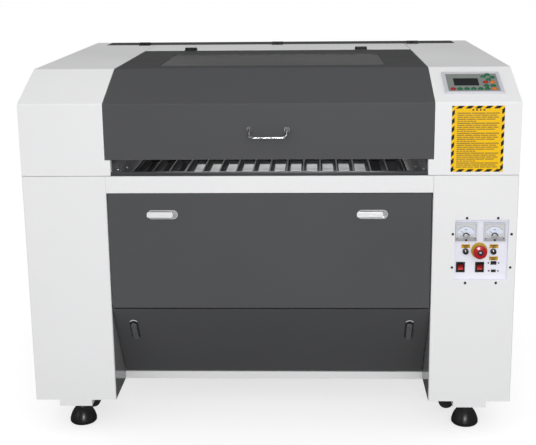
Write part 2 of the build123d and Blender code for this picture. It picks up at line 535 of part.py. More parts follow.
# Swivel castor: stem in the pedestal's socket, fork beside the wheel, axle fixed in the fork.
AXLE_R = 4.0
CHEEK_GAP = WHEEL_WIDTH / 2 + 1.5
for end_name, end in (("front", -1), ("rear", 1)):
    for side_name, side in SIDES:
        stem_x = side * CASTOR_X
        stem_y = end * (BACK - CASTOR_FRONT)
        wheel_x = stem_x - CASTOR_TRAIL
        wheel_z = WHEEL_R + WHEEL_LIFT
        with BuildPart() as castor_fork:
            rod(stem_x, stem_y, 85, STEM_R, "Z", 48)
            rod(stem_x, stem_y, 70, 16, "Z", 10)
            block((stem_x - 30, stem_x + 16), (stem_y - CHEEK_GAP - 3, stem_y + CHEEK_GAP + 3), (60, 65.5))
            for cheek in (-1, 1):
                with BuildSketch(Plane((0, stem_y + cheek * (CHEEK_GAP + 1.5), 0), x_dir=(1, 0, 0),
                                       z_dir=(0, -1, 0))):
                    Polygon((stem_x - 30, 62), (stem_x + 16, 62), (stem_x + 12, 46),
                            (wheel_x + 9, wheel_z - 6), (wheel_x, wheel_z - 10), (wheel_x - 9, wheel_z - 4),
                            align=None)
                extrude(amount=1.5, both=True)
            rod(wheel_x, stem_y, wheel_z, AXLE_R, "Y", 2 * CHEEK_GAP + 8)
        castor_fork.part.label = f"castor_fork_{end_name}_{side_name}"
        export_step(castor_fork.part, f"parts/castor_fork_{end_name}_{side_name}.step")

        with BuildPart() as castor_wheel:
            rod(wheel_x, stem_y, wheel_z, WHEEL_R, "Y", WHEEL_WIDTH)
            fillet(castor_wheel.edges().filter_by(GeomType.CIRCLE), 3)
            rod(wheel_x, stem_y, wheel_z, 11, "Y", 2 * CHEEK_GAP - 1)
            for face_end in (-1, 1):
                rod(wheel_x, stem_y + face_end * WHEEL_WIDTH / 2, wheel_z, 18, "Y", 3, mode=Mode.SUBTRACT)
                rod(wheel_x, stem_y + face_end * WHEEL_WIDTH / 2, wheel_z, 11, "Y", 3)
            rod(wheel_x, stem_y, wheel_z, AXLE_R + 0.05, "Y", 2 * CHEEK_GAP + 8, mode=Mode.SUBTRACT)
        castor_wheel.part.label = f"castor_wheel_{end_name}_{side_name}"
        export_step(castor_wheel.part, f"parts/castor_wheel_{end_name}_{side_name}.step")

# ---------------------------------------------------------------- instrument recess
PLATE_THICK = 2.0
ESTOP_NECK_R = 11.0
ESTOP_BORE_R = 8.05
KNOB_SHAFT_R = 3.0
FRAME_SIZE = (26.0, 31.5)
FRAME_BODY = (23.5, 28.8)
FRAME_DEEP = 16.0
with BuildPart() as instrument_panel:
    block((RECESS_X[0] - 14, RECESS_X[1] + 14), (FRONT + SHEET, FRONT + SHEET + 1.5),
          (RECESS_Z[0] - 14, RECESS_Z[1] + 12))
    block(RECESS_X, (FRONT + SHEET, PANEL_Y + PLATE_THICK), RECESS_Z)
    block((RECESS_X[0] + 1.5, RECESS_X[1] - 1.5), (FRONT, PANEL_Y), (RECESS_Z[0] + 1.5, RECESS_Z[1] - 1.5),
          mode=Mode.SUBTRACT)
    rod(ESTOP[0], PANEL_Y, ESTOP[1], ESTOP_NECK_R + 0.1, "Y", 20, mode=Mode.SUBTRACT)
    for knob_x in KNOB_X:
        rod(knob_x, PANEL_Y, KNOB_Z, KNOB_SHAFT_R + 0.05, "Y", 20, mode=Mode.SUBTRACT)
    for rocker_x in ROCKER_X:
        block((rocker_x - FRAME_BODY[0] / 2 - 0.2, rocker_x + FRAME_BODY[0] / 2 + 0.2),
              (PANEL_Y - 5, PANEL_Y + 5),
              (ROCKER_Z - FRAME_BODY[1] / 2 - 0.2, ROCKER_Z + FRAME_BODY[1] / 2 + 0.2), mode=Mode.SUBTRACT)
    for port_x, port_z, port_w, port_h in PORTS:
        block((port_x - port_w / 2, port_x + port_w / 2), (PANEL_Y - 5, PANEL_Y + 5),
              (port_z - port_h / 2, port_z + port_h / 2), mode=Mode.SUBTRACT)
    for screw_x, screw_z in PANEL_SCREWS:
        rod(screw_x, FRONT, screw_z, 1.95, "Y", 20, mode=Mode.SUBTRACT)
instrument_panel.part.label = "instrument_panel"
export_step(instrument_panel.part, "parts/instrument_panel.step")

# Eight domed black screws that hold the plate behind the pedestal's face.
with BuildPart() as panel_screws:
    for screw_x, screw_z in PANEL_SCREWS:
        with BuildSketch(Plane((screw_x, FRONT, screw_z), x_dir=(1, 0, 0), z_dir=(0, 0, 1))):
            Polygon((0, 0), (3.8, 0), (3.6, -1.2), (2.4, -2.2), (0, -2.4), align=None)
        revolve(axis=Axis((screw_x, FRONT, screw_z), (0, 1, 0)))
        rod(screw_x, FRONT + 3, screw_z, 1.9, "Y", 6)
panel_screws.part.label = "panel_screws"
export_step(panel_screws.part, "parts/panel_screws.step")

# Moving-coil meters: square case with a dial well; the needle turns in the well.
METER_PROUD = 9.0
WELL_DEPTH = 5.0
WELL_HALF = 28.5
WELL_LOW = METER_Z - 15.0
WELL_HIGH = METER_Z + 25.0
with BuildPart() as meter_cases:
    for meter_x in METER_X:
        block((meter_x - METER_SIZE[0] / 2, meter_x + METER_SIZE[0] / 2),
              (PANEL_Y - METER_PROUD, PANEL_Y), (METER_Z - METER_SIZE[1] / 2, METER_Z + METER_SIZE[1] / 2))
    fillet(meter_cases.edges().group_by(Axis.Y)[0], 1.2)
    for meter_x in METER_X:
        block((meter_x - WELL_HALF, meter_x + WELL_HALF),
              (PANEL_Y - METER_PROUD - 1, PANEL_Y - METER_PROUD + WELL_DEPTH), (WELL_LOW, WELL_HIGH),
              mode=Mode.SUBTRACT)
        rod(meter_x, PANEL_Y - METER_PROUD + WELL_DEPTH, METER_PIVOT_Z + 1.5, 0.8, "Y", 4,
            mode=Mode.SUBTRACT)
meter_cases.part.label = "meter_cases"
export_step(meter_cases.part, "parts/meter_cases.step")

NEEDLE_Y = PANEL_Y - METER_PROUD + 3.0
NEEDLE_LENGTH = 22.0
for (side_name, side), meter_x in zip(SIDES, METER_X):
    with BuildPart() as needle:
        with BuildSketch(Plane((meter_x, NEEDLE_Y, METER_PIVOT_Z + 1.5), x_dir=(1, 0, 0), z_dir=(0, -1, 0))):
            with Locations(Rotation(0, 0, 45)):
                with Locations((0, NEEDLE_LENGTH / 2)):
                    Rectangle(1.0, NEEDLE_LENGTH)
            Circle(2.2)
        extrude(amount=0.4, both=True)
        rod(meter_x, NEEDLE_Y + 1.5, METER_PIVOT_Z + 1.5, 0.75, "Y", 3.4)
    needle.part.label = f"needle_{side_name}"
    export_step(needle.part, f"parts/needle_{side_name}.step")

# Emergency stop: yellow ring and threaded body, with a mushroom head that pushes in.
ESTOP_HEAD_R = 20.5
ESTOP_TRAVEL = 4.0
RING_THICK = 3.0
with BuildPart() as estop_collar:
    rod(ESTOP[0], PANEL_Y - RING_THICK / 2, ESTOP[1], 24.0, "Y", RING_THICK)
    rod(ESTOP[0], PANEL_Y + 8, ESTOP[1], ESTOP_NECK_R, "Y", 36)
    rod(ESTOP[0], PANEL_Y + 5, ESTOP[1], ESTOP_BORE_R, "Y", 34, mode=Mode.SUBTRACT)
estop_collar.part.label = "estop_collar"
export_step(estop_collar.part, "parts/estop_collar.step")

HEAD_BACK = PANEL_Y - 10.0 - ESTOP_TRAVEL - 1.0
with BuildPart() as estop_head:
    with BuildSketch(Plane((ESTOP[0], HEAD_BACK, ESTOP[1]), x_dir=(1, 0, 0), z_dir=(0, 0, 1))):
        Polygon((0, 0), (17, 0), (19.5, -2), (ESTOP_HEAD_R, -6), (ESTOP_HEAD_R, -9), (18, -12.5),
                (11, -14.5), (0, -15), align=None)
    revolve(axis=Axis((ESTOP[0], HEAD_BACK, ESTOP[1]), (0, 1, 0)))
    rod(ESTOP[0], HEAD_BACK + 12, ESTOP[1], 8.0, "Y", 24)
estop_head.part.label = "estop_head"
export_step(estop_head.part, "parts/estop_head.step")

# Knobs with a flat on one side of the grip as a pointer.
KNOB_R = 8.75
for (side_name, side), knob_x in zip(SIDES, KNOB_X):
    with BuildPart() as knob:
        rod(knob_x, PANEL_Y - 2.8, KNOB_Z, KNOB_R, "Y", 4.6)
        rod(knob_x, PANEL_Y - 9, KNOB_Z, KNOB_R - 1.2, "Y", 9)
        fillet(knob.edges().filter_by(GeomType.CIRCLE).sort_by(Axis.Y)[0], 1.0)
        block((knob_x - 0.6, knob_x + 0.6), (PANEL_Y - 14, PANEL_Y - 12.8), (KNOB_Z, KNOB_Z + KNOB_R),
              mode=Mode.SUBTRACT)
        rod(knob_x, PANEL_Y + 3, KNOB_Z, KNOB_SHAFT_R, "Y", 14)
    knob.part.label = f"knob_{side_name}"
    export_step(knob.part, f"parts/knob_{side_name}.step")

# Rocker switches: fixed frames here with the two data ports, rockers on their own pivots.
ROCKER_PIVOT_Y = PANEL_Y + 1.0
with BuildPart() as panel_sockets:
    for rocker_x in ROCKER_X:
        block((rocker_x - FRAME_SIZE[0] / 2, rocker_x + FRAME_SIZE[0] / 2), (PANEL_Y - 2, PANEL_Y),
              (ROCKER_Z - FRAME_SIZE[1] / 2, ROCKER_Z + FRAME_SIZE[1] / 2))
        block((rocker_x - FRAME_BODY[0] / 2, rocker_x + FRAME_BODY[0] / 2),
              (PANEL_Y - 2, PANEL_Y + FRAME_DEEP),
              (ROCKER_Z - FRAME_BODY[1] / 2, ROCKER_Z + FRAME_BODY[1] / 2))
        block((rocker_x - 9.8, rocker_x + 9.8), (PANEL_Y - 3, PANEL_Y + FRAME_DEEP - 2),
              (ROCKER_Z - 14.0, ROCKER_Z + 14.0), mode=Mode.SUBTRACT)
        rod(rocker_x, ROCKER_PIVOT_Y, ROCKER_Z, 1.05, "X", 22, mode=Mode.SUBTRACT)
    for port_x, port_z, port_w, port_h in PORTS:
        block((port_x - port_w / 2 + 0.1, port_x + port_w / 2 - 0.1), (PANEL_Y - 1.5, PANEL_Y + 14),
              (port_z - port_h / 2 + 0.1, port_z + port_h / 2 - 0.1))
        block((port_x - port_w / 2 + 2, port_x + port_w / 2 - 2), (PANEL_Y - 2, PANEL_Y + 11),
              (port_z - port_h / 2 + 2, port_z + port_h / 2 - 2), mode=Mode.SUBTRACT)
        for end in (-1, 1):
            rod(port_x + end * (port_w / 2 + 6.5), PANEL_Y - 0.8, port_z, 2.2, "Y", 1.6)
panel_sockets.part.label = "panel_sockets"
export_step(panel_sockets.part, "parts/panel_sockets.step")

for (side_name, side), rocker_x in zip(SIDES, ROCKER_X):
    rocker_plane = Plane((rocker_x, ROCKER_PIVOT_Y, ROCKER_Z), x_dir=(0, 1, 0), z_dir=(1, 0, 0))
    with BuildPart() as rocker:
        with BuildSketch(rocker_plane.offset(-9.4)):
            with Locations(Rotation(0, 0, ROCKER_TILT)):
                Polygon((-5.5, -12.8), (-4.2, 0), (-5.5, 12.8), (3, 9), (5, 0), (3, -9), align=None)
        extrude(amount=18.8)
        rod(rocker_x, ROCKER_PIVOT_Y, ROCKER_Z, 1.0, "X", 21.6)
    rocker.part.label = f"rocker_{side_name}"
    export_step(rocker.part, f"parts/rocker_{side_name}.step")

# ---------------------------------------------------------------- controller on the slope
SLOPE_UP = Vector(0, SLOPE_DEPTH, TOP - FOLD).normalized()
SLOPE_OUT = Vector(1, 0, 0).cross(SLOPE_UP)
CONTROL_MIDDLE = Vector(CONTROL_X, FRONT, FOLD) + SLOPE_UP * CONTROL_S
CONTROL_PLANE = Plane(CONTROL_MIDDLE, x_dir=(1, 0, 0), z_dir=SLOPE_OUT)
BEZEL_THICK = 6.0
PAD_THICK = 3.0
with BuildPart() as control_bezel:
    with BuildSketch(CONTROL_PLANE):
        RectangleRounded(*CONTROL_OUTER, 5)
        RectangleRounded(*CONTROL_INNER, 3, mode=Mode.SUBTRACT)
    extrude(amount=BEZEL_THICK)
    chamfer(control_bezel.faces().sort_by(Axis(CONTROL_PLANE.origin, SLOPE_OUT))[-1].edges(), 1.5)
control_bezel.part.label = "control_bezel"
export_step(control_bezel.part, "parts/control_bezel.step")

with BuildPart() as keypad_overlay:
    with BuildSketch(CONTROL_PLANE):
        RectangleRounded(CONTROL_INNER[0] - 0.4, CONTROL_INNER[1] - 0.4, 3)
        with Locations(SCREEN_AT):
            Rectangle(*SCREEN_SIZE, mode=Mode.SUBTRACT)
    extrude(amount=PAD_THICK)
    with BuildSketch(CONTROL_PLANE.offset(PAD_THICK)):
        with Locations(*[(x, KEY_ROW_Y) for x in KEY_ROW], *KEY_CLUSTER):
            Ellipse(KEY_SIZE[0] / 2, KEY_SIZE[1] / 2)
    extrude(amount=2.0, taper=20)
keypad_overlay.part.label = "keypad_overlay"
export_step(keypad_overlay.part, "parts/keypad_overlay.step")

with BuildPart() as control_screen:
    with BuildSketch(CONTROL_PLANE):
        with Locations(SCREEN_AT):
            Rectangle(SCREEN_SIZE[0] - 0.4, SCREEN_SIZE[1] - 0.4)
    extrude(amount=PAD_THICK - 0.6)
control_screen.part.label = "control_screen"
export_step(control_screen.part, "parts/control_screen.step")

# Adhesive notice on the front of the right housing.
with BuildPart() as warning_label:
    block((526, 676), (FRONT - 0.4, FRONT), (SEAM + 9, SEAM + 201))
warning_label.part.label = "warning_label"
export_step(warning_label.part, "parts/warning_label.step")

# ---------------------------------------------------------------- bed
BED_REAR = BED_FRONT + BED_LENGTH
with BuildPart() as bed_frame:
    for side_name, side in SIDES:
        block(mirrored(side, BED_HALF, MIDDLE), (FRONT + 42, FRONT + BED_REAR),
              (BED_TOP - BED_DEEP, BED_TOP))
        block(mirrored(side, BED_HALF + 12, BED_HALF + 14), (FRONT + 42, FRONT + BED_REAR), (BED_TOP, 866))
        block(mirrored(side, BED_LEDGE, BED_HALF), (FRONT + 42, FRONT + BED_REAR), (BED_TOP - 6, BED_TOP))
    block((-BED_HALF, BED_HALF), (FRONT + 42, FRONT + 54), (BED_TOP - BED_DEEP, BED_TOP))
    block((-BED_HALF, BED_HALF), (FRONT + BED_REAR - 12, FRONT + BED_REAR), (BED_TOP - BED_DEEP, BED_TOP))
    block((-FLANGE_HALF + 1, FLANGE_HALF - 1), (FRONT + 1, FRONT + 54), (PEDESTAL_TOP, SEAM + 7.7))
    block((-FLANGE_HALF, FLANGE_HALF), (FRONT + 3, FRONT + 52), (PEDESTAL_TOP - 1, SEAM + 5.7),
          mode=Mode.SUBTRACT)
bed_frame.part.label = "bed_frame"
export_step(bed_frame.part, "parts/bed_frame.step")

# Knife-edge slats standing on edge, threaded on two loose rods that keep them upright.
SLAT_ROD_R = 4.0
SLAT_RODS = [(FRONT + 200, BED_TOP - 18), (FRONT + BED_REAR - 160, BED_TOP - 18)]
with BuildPart() as knife_slats:
    for i in range(SLAT_COUNT):
        slat_x = (i - (SLAT_COUNT - 1) / 2) * SLAT_PITCH
        block((slat_x - 1.5, slat_x + 1.5), (FRONT + 54, FRONT + BED_REAR - 12),
              (BED_TOP - BED_DEEP + 2, BED_TOP))
    for rod_y, rod_z in SLAT_RODS:
        rod(0, rod_y, rod_z, SLAT_ROD_R + 0.05, "X", 2 * BED_LEDGE, mode=Mode.SUBTRACT)
    for rod_y, rod_z in SLAT_RODS:
        rod(0, rod_y, rod_z, SLAT_ROD_R, "X", (SLAT_COUNT - 1) * SLAT_PITCH + 8)
knife_slats.part.label = "knife_slats"
export_step(knife_slats.part, "parts/knife_slats.step")

# ---------------------------------------------------------------- gantry drive along Y
RAIL_HALF = 12.0
RAIL_Y = (FRONT + 60, FRONT + 965)
PULLEY_X = 575.0
BEARING_X = (588.0, 600.0)
SHAFT_R = 8.0
with BuildPart() as y_rails:
    for side_name, side in SIDES:
        rail_x = mirrored(side, RAIL_X - RAIL_HALF, RAIL_X + RAIL_HALF)
        block(rail_x, RAIL_Y, (RAIL_TOP - 20, RAIL_TOP))
        for post_y in (RAIL_Y[0], FRONT + 500, RAIL_Y[1] - 20):
            block(rail_x, (post_y, post_y + 20), (SEAM, RAIL_TOP - 20))
        block(mirrored(side, *BEARING_X), (SHAFT_Y - 18, SHAFT_Y + 18), (SEAM, SHAFT_Z + 18))
        rod(side * BEARING_X[0], SHAFT_Y, SHAFT_Z, SHAFT_R + 0.05, "X", 40, mode=Mode.SUBTRACT)
        block(mirrored(side, *BEARING_X), (RAIL_Y[0], RAIL_Y[0] + 30), (SEAM, SHAFT_Z + 12))
        rod(side * (PULLEY_X + 6.5), RAIL_Y[0] + 15, SHAFT_Z, PULLEY_R, "X", 13)
y_rails.part.label = "y_rails"
export_step(y_rails.part, "parts/y_rails.step")

with BuildPart() as y_drive_shaft:
    rod(0, SHAFT_Y, SHAFT_Z, SHAFT_R, "X", 2 * BEARING_X[1] + 20)
    for side_name, side in SIDES:
        rod(side * PULLEY_X, SHAFT_Y, SHAFT_Z, PULLEY_R, "X", 10)
        rod(side * (PULLEY_X + 6), SHAFT_Y, SHAFT_Z, PULLEY_R + 2, "X", 1.5)
        rod(side * (PULLEY_X - 6), SHAFT_Y, SHAFT_Z, PULLEY_R + 2, "X", 1.5)
y_drive_shaft.part.label = "y_drive_shaft"
export_step(y_drive_shaft.part, "parts/y_drive_shaft.step")

MOTOR_SIZE = 57.0
with BuildPart() as y_drive_motor:
    motor_y = SHAFT_Y + 66
    block((622, 690), (motor_y - MOTOR_SIZE / 2, motor_y + MOTOR_SIZE / 2),
          (SHAFT_Z - MOTOR_SIZE / 2, SHAFT_Z + MOTOR_SIZE / 2))
    chamfer(y_drive_motor.edges().filter_by(Axis.X), 5)
    block((617, 622), (motor_y - 36, motor_y + 36), (SEAM, SHAFT_Z + 34))
    rod(614, motor_y, SHAFT_Z, 4, "X", 12)
y_drive_motor.part.label = "y_drive_motor"
export_step(y_drive_motor.part, "parts/y_drive_motor.step")

# ---------------------------------------------------------------- gantry
BEAM_HALF = 566.0
GUIDE_HALF = 480.0
with BuildPart() as gantry_beam:
    block((-BEAM_HALF, BEAM_HALF), (GANTRY_Y - 20, GANTRY_Y + 20), (BEAM_LOW, BEAM_HIGH))
    block((-BEAM_HALF - 1, BEAM_HALF + 1), (GANTRY_Y - 17, GANTRY_Y + 17), (BEAM_LOW + 3, BEAM_HIGH - 3),
          mode=Mode.SUBTRACT)
    block((-GUIDE_HALF, GUIDE_HALF), (GANTRY_Y - 30, GANTRY_Y - 20), (908, 924))
    for side_name, side in SIDES:
        block(mirrored(side, 515, BEAM_HALF), (GANTRY_Y - 45, GANTRY_Y + 45), (RAIL_TOP + 0.5, BEAM_LOW))
        block(mirrored(side, 515, RAIL_X - RAIL_HALF - 0.3), (GANTRY_Y - 45, GANTRY_Y + 45), (856, BEAM_LOW))
        block(mirrored(side, RAIL_X + RAIL_HALF + 0.3, BEAM_HALF), (GANTRY_Y - 45, GANTRY_Y + 45),
              (856, BEAM_LOW))
gantry_beam.part.label = "gantry_beam"
export_step(gantry_beam.part, "parts/gantry_beam.step")

# X drive: motor on a bracket, belt round two pulleys, and the second mirror on its arm.
X_BELT_Z = 961.0
X_PULLEY_R = 9.0
X_PULLEYS = (-536.0, 536.0)
NOZZLE_Y = GANTRY_Y - 56.0
with BuildPart() as x_drive:
    block((512, 560), (GANTRY_Y + 10, GANTRY_Y + 16), (BEAM_HIGH, 985))
    block((515, 557), (GANTRY_Y + 16, GANTRY_Y + 62), (940, 982))
    rod(X_PULLEYS[1], GANTRY_Y - 5, X_BELT_Z, 3, "Y", 40)
    block((-560, -512), (GANTRY_Y + 10, GANTRY_Y + 16), (BEAM_HIGH, 985))
    rod(X_PULLEYS[0], GANTRY_Y - 5, X_BELT_Z, 3, "Y", 40)
    for pulley_x in X_PULLEYS:
        rod(pulley_x, GANTRY_Y - 23, X_BELT_Z, X_PULLEY_R, "Y", 8)
    with BuildSketch(Plane((0, GANTRY_Y - 20, X_BELT_Z), x_dir=(1, 0, 0), z_dir=(0, -1, 0))):
        SlotCenterToCenter(X_PULLEYS[1] - X_PULLEYS[0], 2 * X_PULLEY_R + 3)
        SlotCenterToCenter(X_PULLEYS[1] - X_PULLEYS[0], 2 * X_PULLEY_R, mode=Mode.SUBTRACT)
    extrude(amount=6)
    block((MIRROR_X - 12, -BEAM_HALF), (GANTRY_Y - 15, GANTRY_Y + 15), (BEAM_LOW + 4, BEAM_LOW + 12))
    block((MIRROR_X - 12, MIRROR_X + 12), (NOZZLE_Y - 12, GANTRY_Y + 15), (BEAM_LOW + 4, BEAM_LOW + 12))
    block((MIRROR_X - 12, MIRROR_X + 12), (NOZZLE_Y - 12, NOZZLE_Y + 12), (BEAM_LOW + 4, BEAM_LINE_Z - 20))
    with Locations(Location((MIRROR_X, NOZZLE_Y, BEAM_LINE_Z), (0, 0, 45))):
        Box(8, 40, 40)
x_drive.part.label = "x_drive"
export_step(x_drive.part, "parts/x_drive.step")

# Cutting head: plate and jaws on the guide rail, mirror block, lens tube and nozzle.
NOZZLE_PROFILE = [(0, 829), (3, 829), (5, 832), (11, 856), (11, 884), (14, 884), (14, 962), (0, 962)]
with BuildPart() as laser_head:
    block((HEAD_X - 28, HEAD_X + 28), (GANTRY_Y - 37, GANTRY_Y - 31), (894, 1000))
    block((HEAD_X - 28, HEAD_X + 28), (GANTRY_Y - 31, GANTRY_Y - 21), (924.3, 932))
    block((HEAD_X - 28, HEAD_X + 28), (GANTRY_Y - 31, GANTRY_Y - 21), (900, 907.7))
    block((HEAD_X - 20, HEAD_X + 20), (NOZZLE_Y - 20, GANTRY_Y - 37), (962, 1004))
    chamfer(laser_head.edges().filter_by(Axis.X).sort_by(Axis.Z)[-1], 0.5)
    rod(HEAD_X, NOZZLE_Y, BEAM_LINE_Z, 9, "X", 60, mode=Mode.SUBTRACT)
    with BuildSketch(Plane((HEAD_X, NOZZLE_Y, 0), x_dir=(1, 0, 0), z_dir=(0, -1, 0))):
        Polygon(*NOZZLE_PROFILE, align=None)
    revolve(axis=Axis((HEAD_X, NOZZLE_Y, 0), (0, 0, 1)))
laser_head.part.label = "laser_head"
export_step(laser_head.part, "parts/laser_head.step")

# ---------------------------------------------------------------- laser tube and its mounts
with BuildPart() as laser_tube:
    with BuildSketch(Plane((0, TUBE_Y, BEAM_LINE_Z), x_dir=(1, 0, 0), z_dir=(0, -1, 0))):
        Polygon((TUBE_X[0], 0), (TUBE_X[0], 11), (TUBE_X[0] + 45, 11), (TUBE_X[0] + 60, TUBE_R),
                (TUBE_X[1] - 60, TUBE_R), (TUBE_X[1] - 45, 11), (TUBE_X[1], 11), (TUBE_X[1], 0), align=None)
    revolve(axis=Axis((0, TUBE_Y, BEAM_LINE_Z), (1, 0, 0)))
laser_tube.part.label = "laser_tube"
export_step(laser_tube.part, "parts/laser_tube.step")

MOUNT_X = (-390.0, 410.0)
with BuildPart() as tube_mounts:
    for mount_x in MOUNT_X:
        block((mount_x - 15, mount_x + 15), (TUBE_Y - 40, TUBE_Y + 40), (902, 1020))
        chamfer(tube_mounts.edges().filter_by(Axis.X).group_by(Axis.Z)[-1], 14)
        rod(mount_x, TUBE_Y, BEAM_LINE_Z, TUBE_R + 0.2, "X", 40, mode=Mode.SUBTRACT)
    block((MIRROR_X - 15, MIRROR_X + 15), (TUBE_Y - 15, TUBE_Y + 15), (SEAM, BEAM_LINE_Z - 20))
    with Locations(Location((MIRROR_X, TUBE_Y, BEAM_LINE_Z), (0, 0, 135))):
        Box(8, 40, 40)
tube_mounts.part.label = "tube_mounts"
export_step(tube_mounts.part, "parts/tube_mounts.step")

# ---------------------------------------------------------------- electrics
with BuildPart() as power_supply:
    block((520, 690), (FRONT + 520, FRONT + 700), (BASE + SHEET, BASE + SHEET + 150))
    fillet(power_supply.edges().filter_by(Axis.Z), 3)
power_supply.part.label = "power_supply"
export_step(power_supply.part, "parts/power_supply.step")

with BuildPart() as power_inlet:
    block((593.2, 642.8), (BACK - 26, BACK), (186.2, 215.8))
    block((586, 650), (BACK, BACK + 3), (181, 221))
    block((597, 639), (BACK - 18, BACK + 4), (190, 212), mode=Mode.SUBTRACT)
    for pin_x, pin_z in ((608, 199), (618, 204), (628, 199)):
        block((pin_x - 1, pin_x + 1), (BACK - 19, BACK - 2), (pin_z - 3, pin_z + 3))
power_inlet.part.label = "power_inlet"
export_step(power_inlet.part, "parts/power_inlet.step")
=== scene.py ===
import bmesh
import bpy
import math
from mathutils import Matrix, Vector


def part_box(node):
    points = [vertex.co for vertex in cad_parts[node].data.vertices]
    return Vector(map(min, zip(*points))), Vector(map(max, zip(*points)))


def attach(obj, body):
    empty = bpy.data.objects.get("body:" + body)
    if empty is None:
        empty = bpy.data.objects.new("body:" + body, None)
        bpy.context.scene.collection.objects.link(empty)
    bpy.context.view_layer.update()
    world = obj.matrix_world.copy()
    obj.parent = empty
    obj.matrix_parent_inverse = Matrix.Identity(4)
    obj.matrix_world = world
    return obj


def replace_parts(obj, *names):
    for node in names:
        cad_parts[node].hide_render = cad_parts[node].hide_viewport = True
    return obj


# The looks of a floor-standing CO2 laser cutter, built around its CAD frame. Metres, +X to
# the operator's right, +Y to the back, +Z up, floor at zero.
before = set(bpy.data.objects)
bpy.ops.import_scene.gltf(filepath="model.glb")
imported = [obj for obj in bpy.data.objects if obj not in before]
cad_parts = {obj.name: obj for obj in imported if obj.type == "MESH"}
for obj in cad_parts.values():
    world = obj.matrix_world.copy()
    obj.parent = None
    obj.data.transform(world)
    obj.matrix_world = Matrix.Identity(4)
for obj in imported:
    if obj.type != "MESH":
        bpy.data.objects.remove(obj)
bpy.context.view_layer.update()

# ---------------------------------------------------------------- studio
# A pale floor running off into a white surround, a broad soft light over the operator's
# shoulder, a weaker one from the left, a low one beside the camera and a faint bed lamp
# under the lid.
camera_data = bpy.data.cameras.new("camera")
camera_data.sensor_width = 36.0
camera_data.lens = 69.61
camera_data.shift_x = -0.02985
camera_data.shift_y = -0.05354
camera = bpy.data.objects.new("camera", camera_data)
bpy.context.scene.collection.objects.link(camera)
camera_place = (0.137, -3.535, 1.441)
yaw, tilt, roll = (math.radians(angle) for angle in (1.806, 76.972, -0.536))
aim = Matrix.Rotation(yaw, 4, "Z") @ Matrix.Rotation(tilt, 4, "X")
camera.matrix_world = Matrix.Translation(camera_place) @ aim @ Matrix.Rotation(roll, 4, "Z")
bpy.context.scene.camera = camera
bpy.context.scene.view_settings.view_transform = "Standard"



def connect(tree, sources, goals):
    """Feeds inputs, by name or number, with values, sockets or the main outputs of nodes."""
    for key, source in sources.items():
        if isinstance(source, bpy.types.Node):
            source = source.outputs[2 if source.bl_idname == "ShaderNodeMix" else 0]
        if isinstance(source, bpy.types.NodeSocket):
            tree.links.new(source, goals[key])
        else:
            goals[key].default_value = source


def place(tree, kind, sources, **settings):
    """Adds a node with its inputs fed."""
    made = tree.nodes.new("ShaderNode" + kind)
    for name, value in settings.items():
        setattr(made, name, value)
    connect(tree, sources, made.inputs)
    return made


def maths(tree, operation, *values):
    """A Math node."""
    return place(tree, "Math", dict(enumerate(values)), operation=operation)


def spread(tree, value, low, high):
    """A node that takes a value from 0 to 1 to one between low and high."""
    return place(tree, "MapRange", {"Value": value, "To Min": low, "To Max": high})


def mix(tree, share, first, second):
    """A node that mixes two colours by a share of the second."""
    return place(tree, "Mix", {0: share, 6: first, 7: second}, data_type="RGBA")


def new_material(name, constants={}):
    """A Principled material; returns it with its tree and its shader's inputs."""
    material = bpy.data.materials.new(name)
    material.use_nodes = True
    shader_inputs = material.node_tree.nodes["Principled BSDF"].inputs
    for key, value in constants.items():
        shader_inputs[key].default_value = value
    return material, material.node_tree, shader_inputs


# The surround is white to the camera, and dimmer where the machine mirrors it.
surround_light, surround_mirrored = 0.78, 0.11
world = bpy.data.worlds.new("studio")
world.use_nodes = True
sky = world.node_tree
ray = place(sky, "LightPath", {}).outputs
dimmed = spread(sky, ray["Is Glossy Ray"], surround_light, surround_mirrored)
shown = maths(sky, "MAXIMUM", ray["Is Camera Ray"], dimmed)
connect(sky, {"Color": (1, 1, 1, 1), "Strength": shown}, sky.nodes["Background"].inputs)
bpy.context.scene.world = world


def studio_light(name, where, target, size, watts):
    """A square area light that faces a point, or straight down without one."""
    lamp = bpy.data.lights.new(name, "AREA")
    lamp.size = size
    lamp.energy = watts
    holder = bpy.data.objects.new(name, lamp)
    bpy.context.scene.collection.objects.link(holder)
    holder.matrix_world = Matrix.Translation(where)
    if target:
        turn = (Vector(target) - Vector(where)).to_track_quat("-Z", "Y").to_matrix().to_4x4()
        holder.matrix_world = holder.matrix_world @ turn
    return lamp


studio_light("key", (0.9, -5.2, 3.1), (0, -0.4, 0.6), 3.0, 22)
studio_light("fill", (-4.2, -3.2, 2.4), (0, 0, 0.6), 2.6, 12)
studio_light("front", (0.35, -4.6, 1.55), (0, -0.6, 0.75), 0.9, 58)
studio_light("overhead", (0.4, -0.7, 3.3), (0, 0, 1), 0.7, 3.5)
bed_lamp = studio_light("bed_lamp", (0, -0.06, 1.085), None, 0.80, 3.8)
bed_lamp.shape = "RECTANGLE"
bed_lamp.size_y = 0.10

floor_reach = 60
paper_grey, paper_mirrored, paper_lift = 0.45, 0.10, 0.66
floor_bm = bmesh.new()
bmesh.ops.create_grid(floor_bm, x_segments=1, y_segments=1, size=floor_reach)
floor_mesh = bpy.data.meshes.new("studio_floor")
floor_bm.to_mesh(floor_mesh)
floor_bm.free()
floor = bpy.data.objects.new("studio_floor", floor_mesh)
bpy.context.scene.collection.objects.link(floor)
floor_paper, tree, paper = new_material("floor_paper", {
    "Roughness": 0.9, "Specular IOR Level": 0.1, "Emission Color": (1, 1, 1, 1)})
paths = place(tree, "LightPath", {}).outputs
grey = spread(tree, paths["Is Glossy Ray"], paper_grey, paper_mirrored)
lift = maths(tree, "MULTIPLY", paths["Is Camera Ray"], paper_lift)
connect(tree, {"Base Color": grey, "Emission Strength": lift}, paper)
floor_mesh.materials.append(floor_paper)


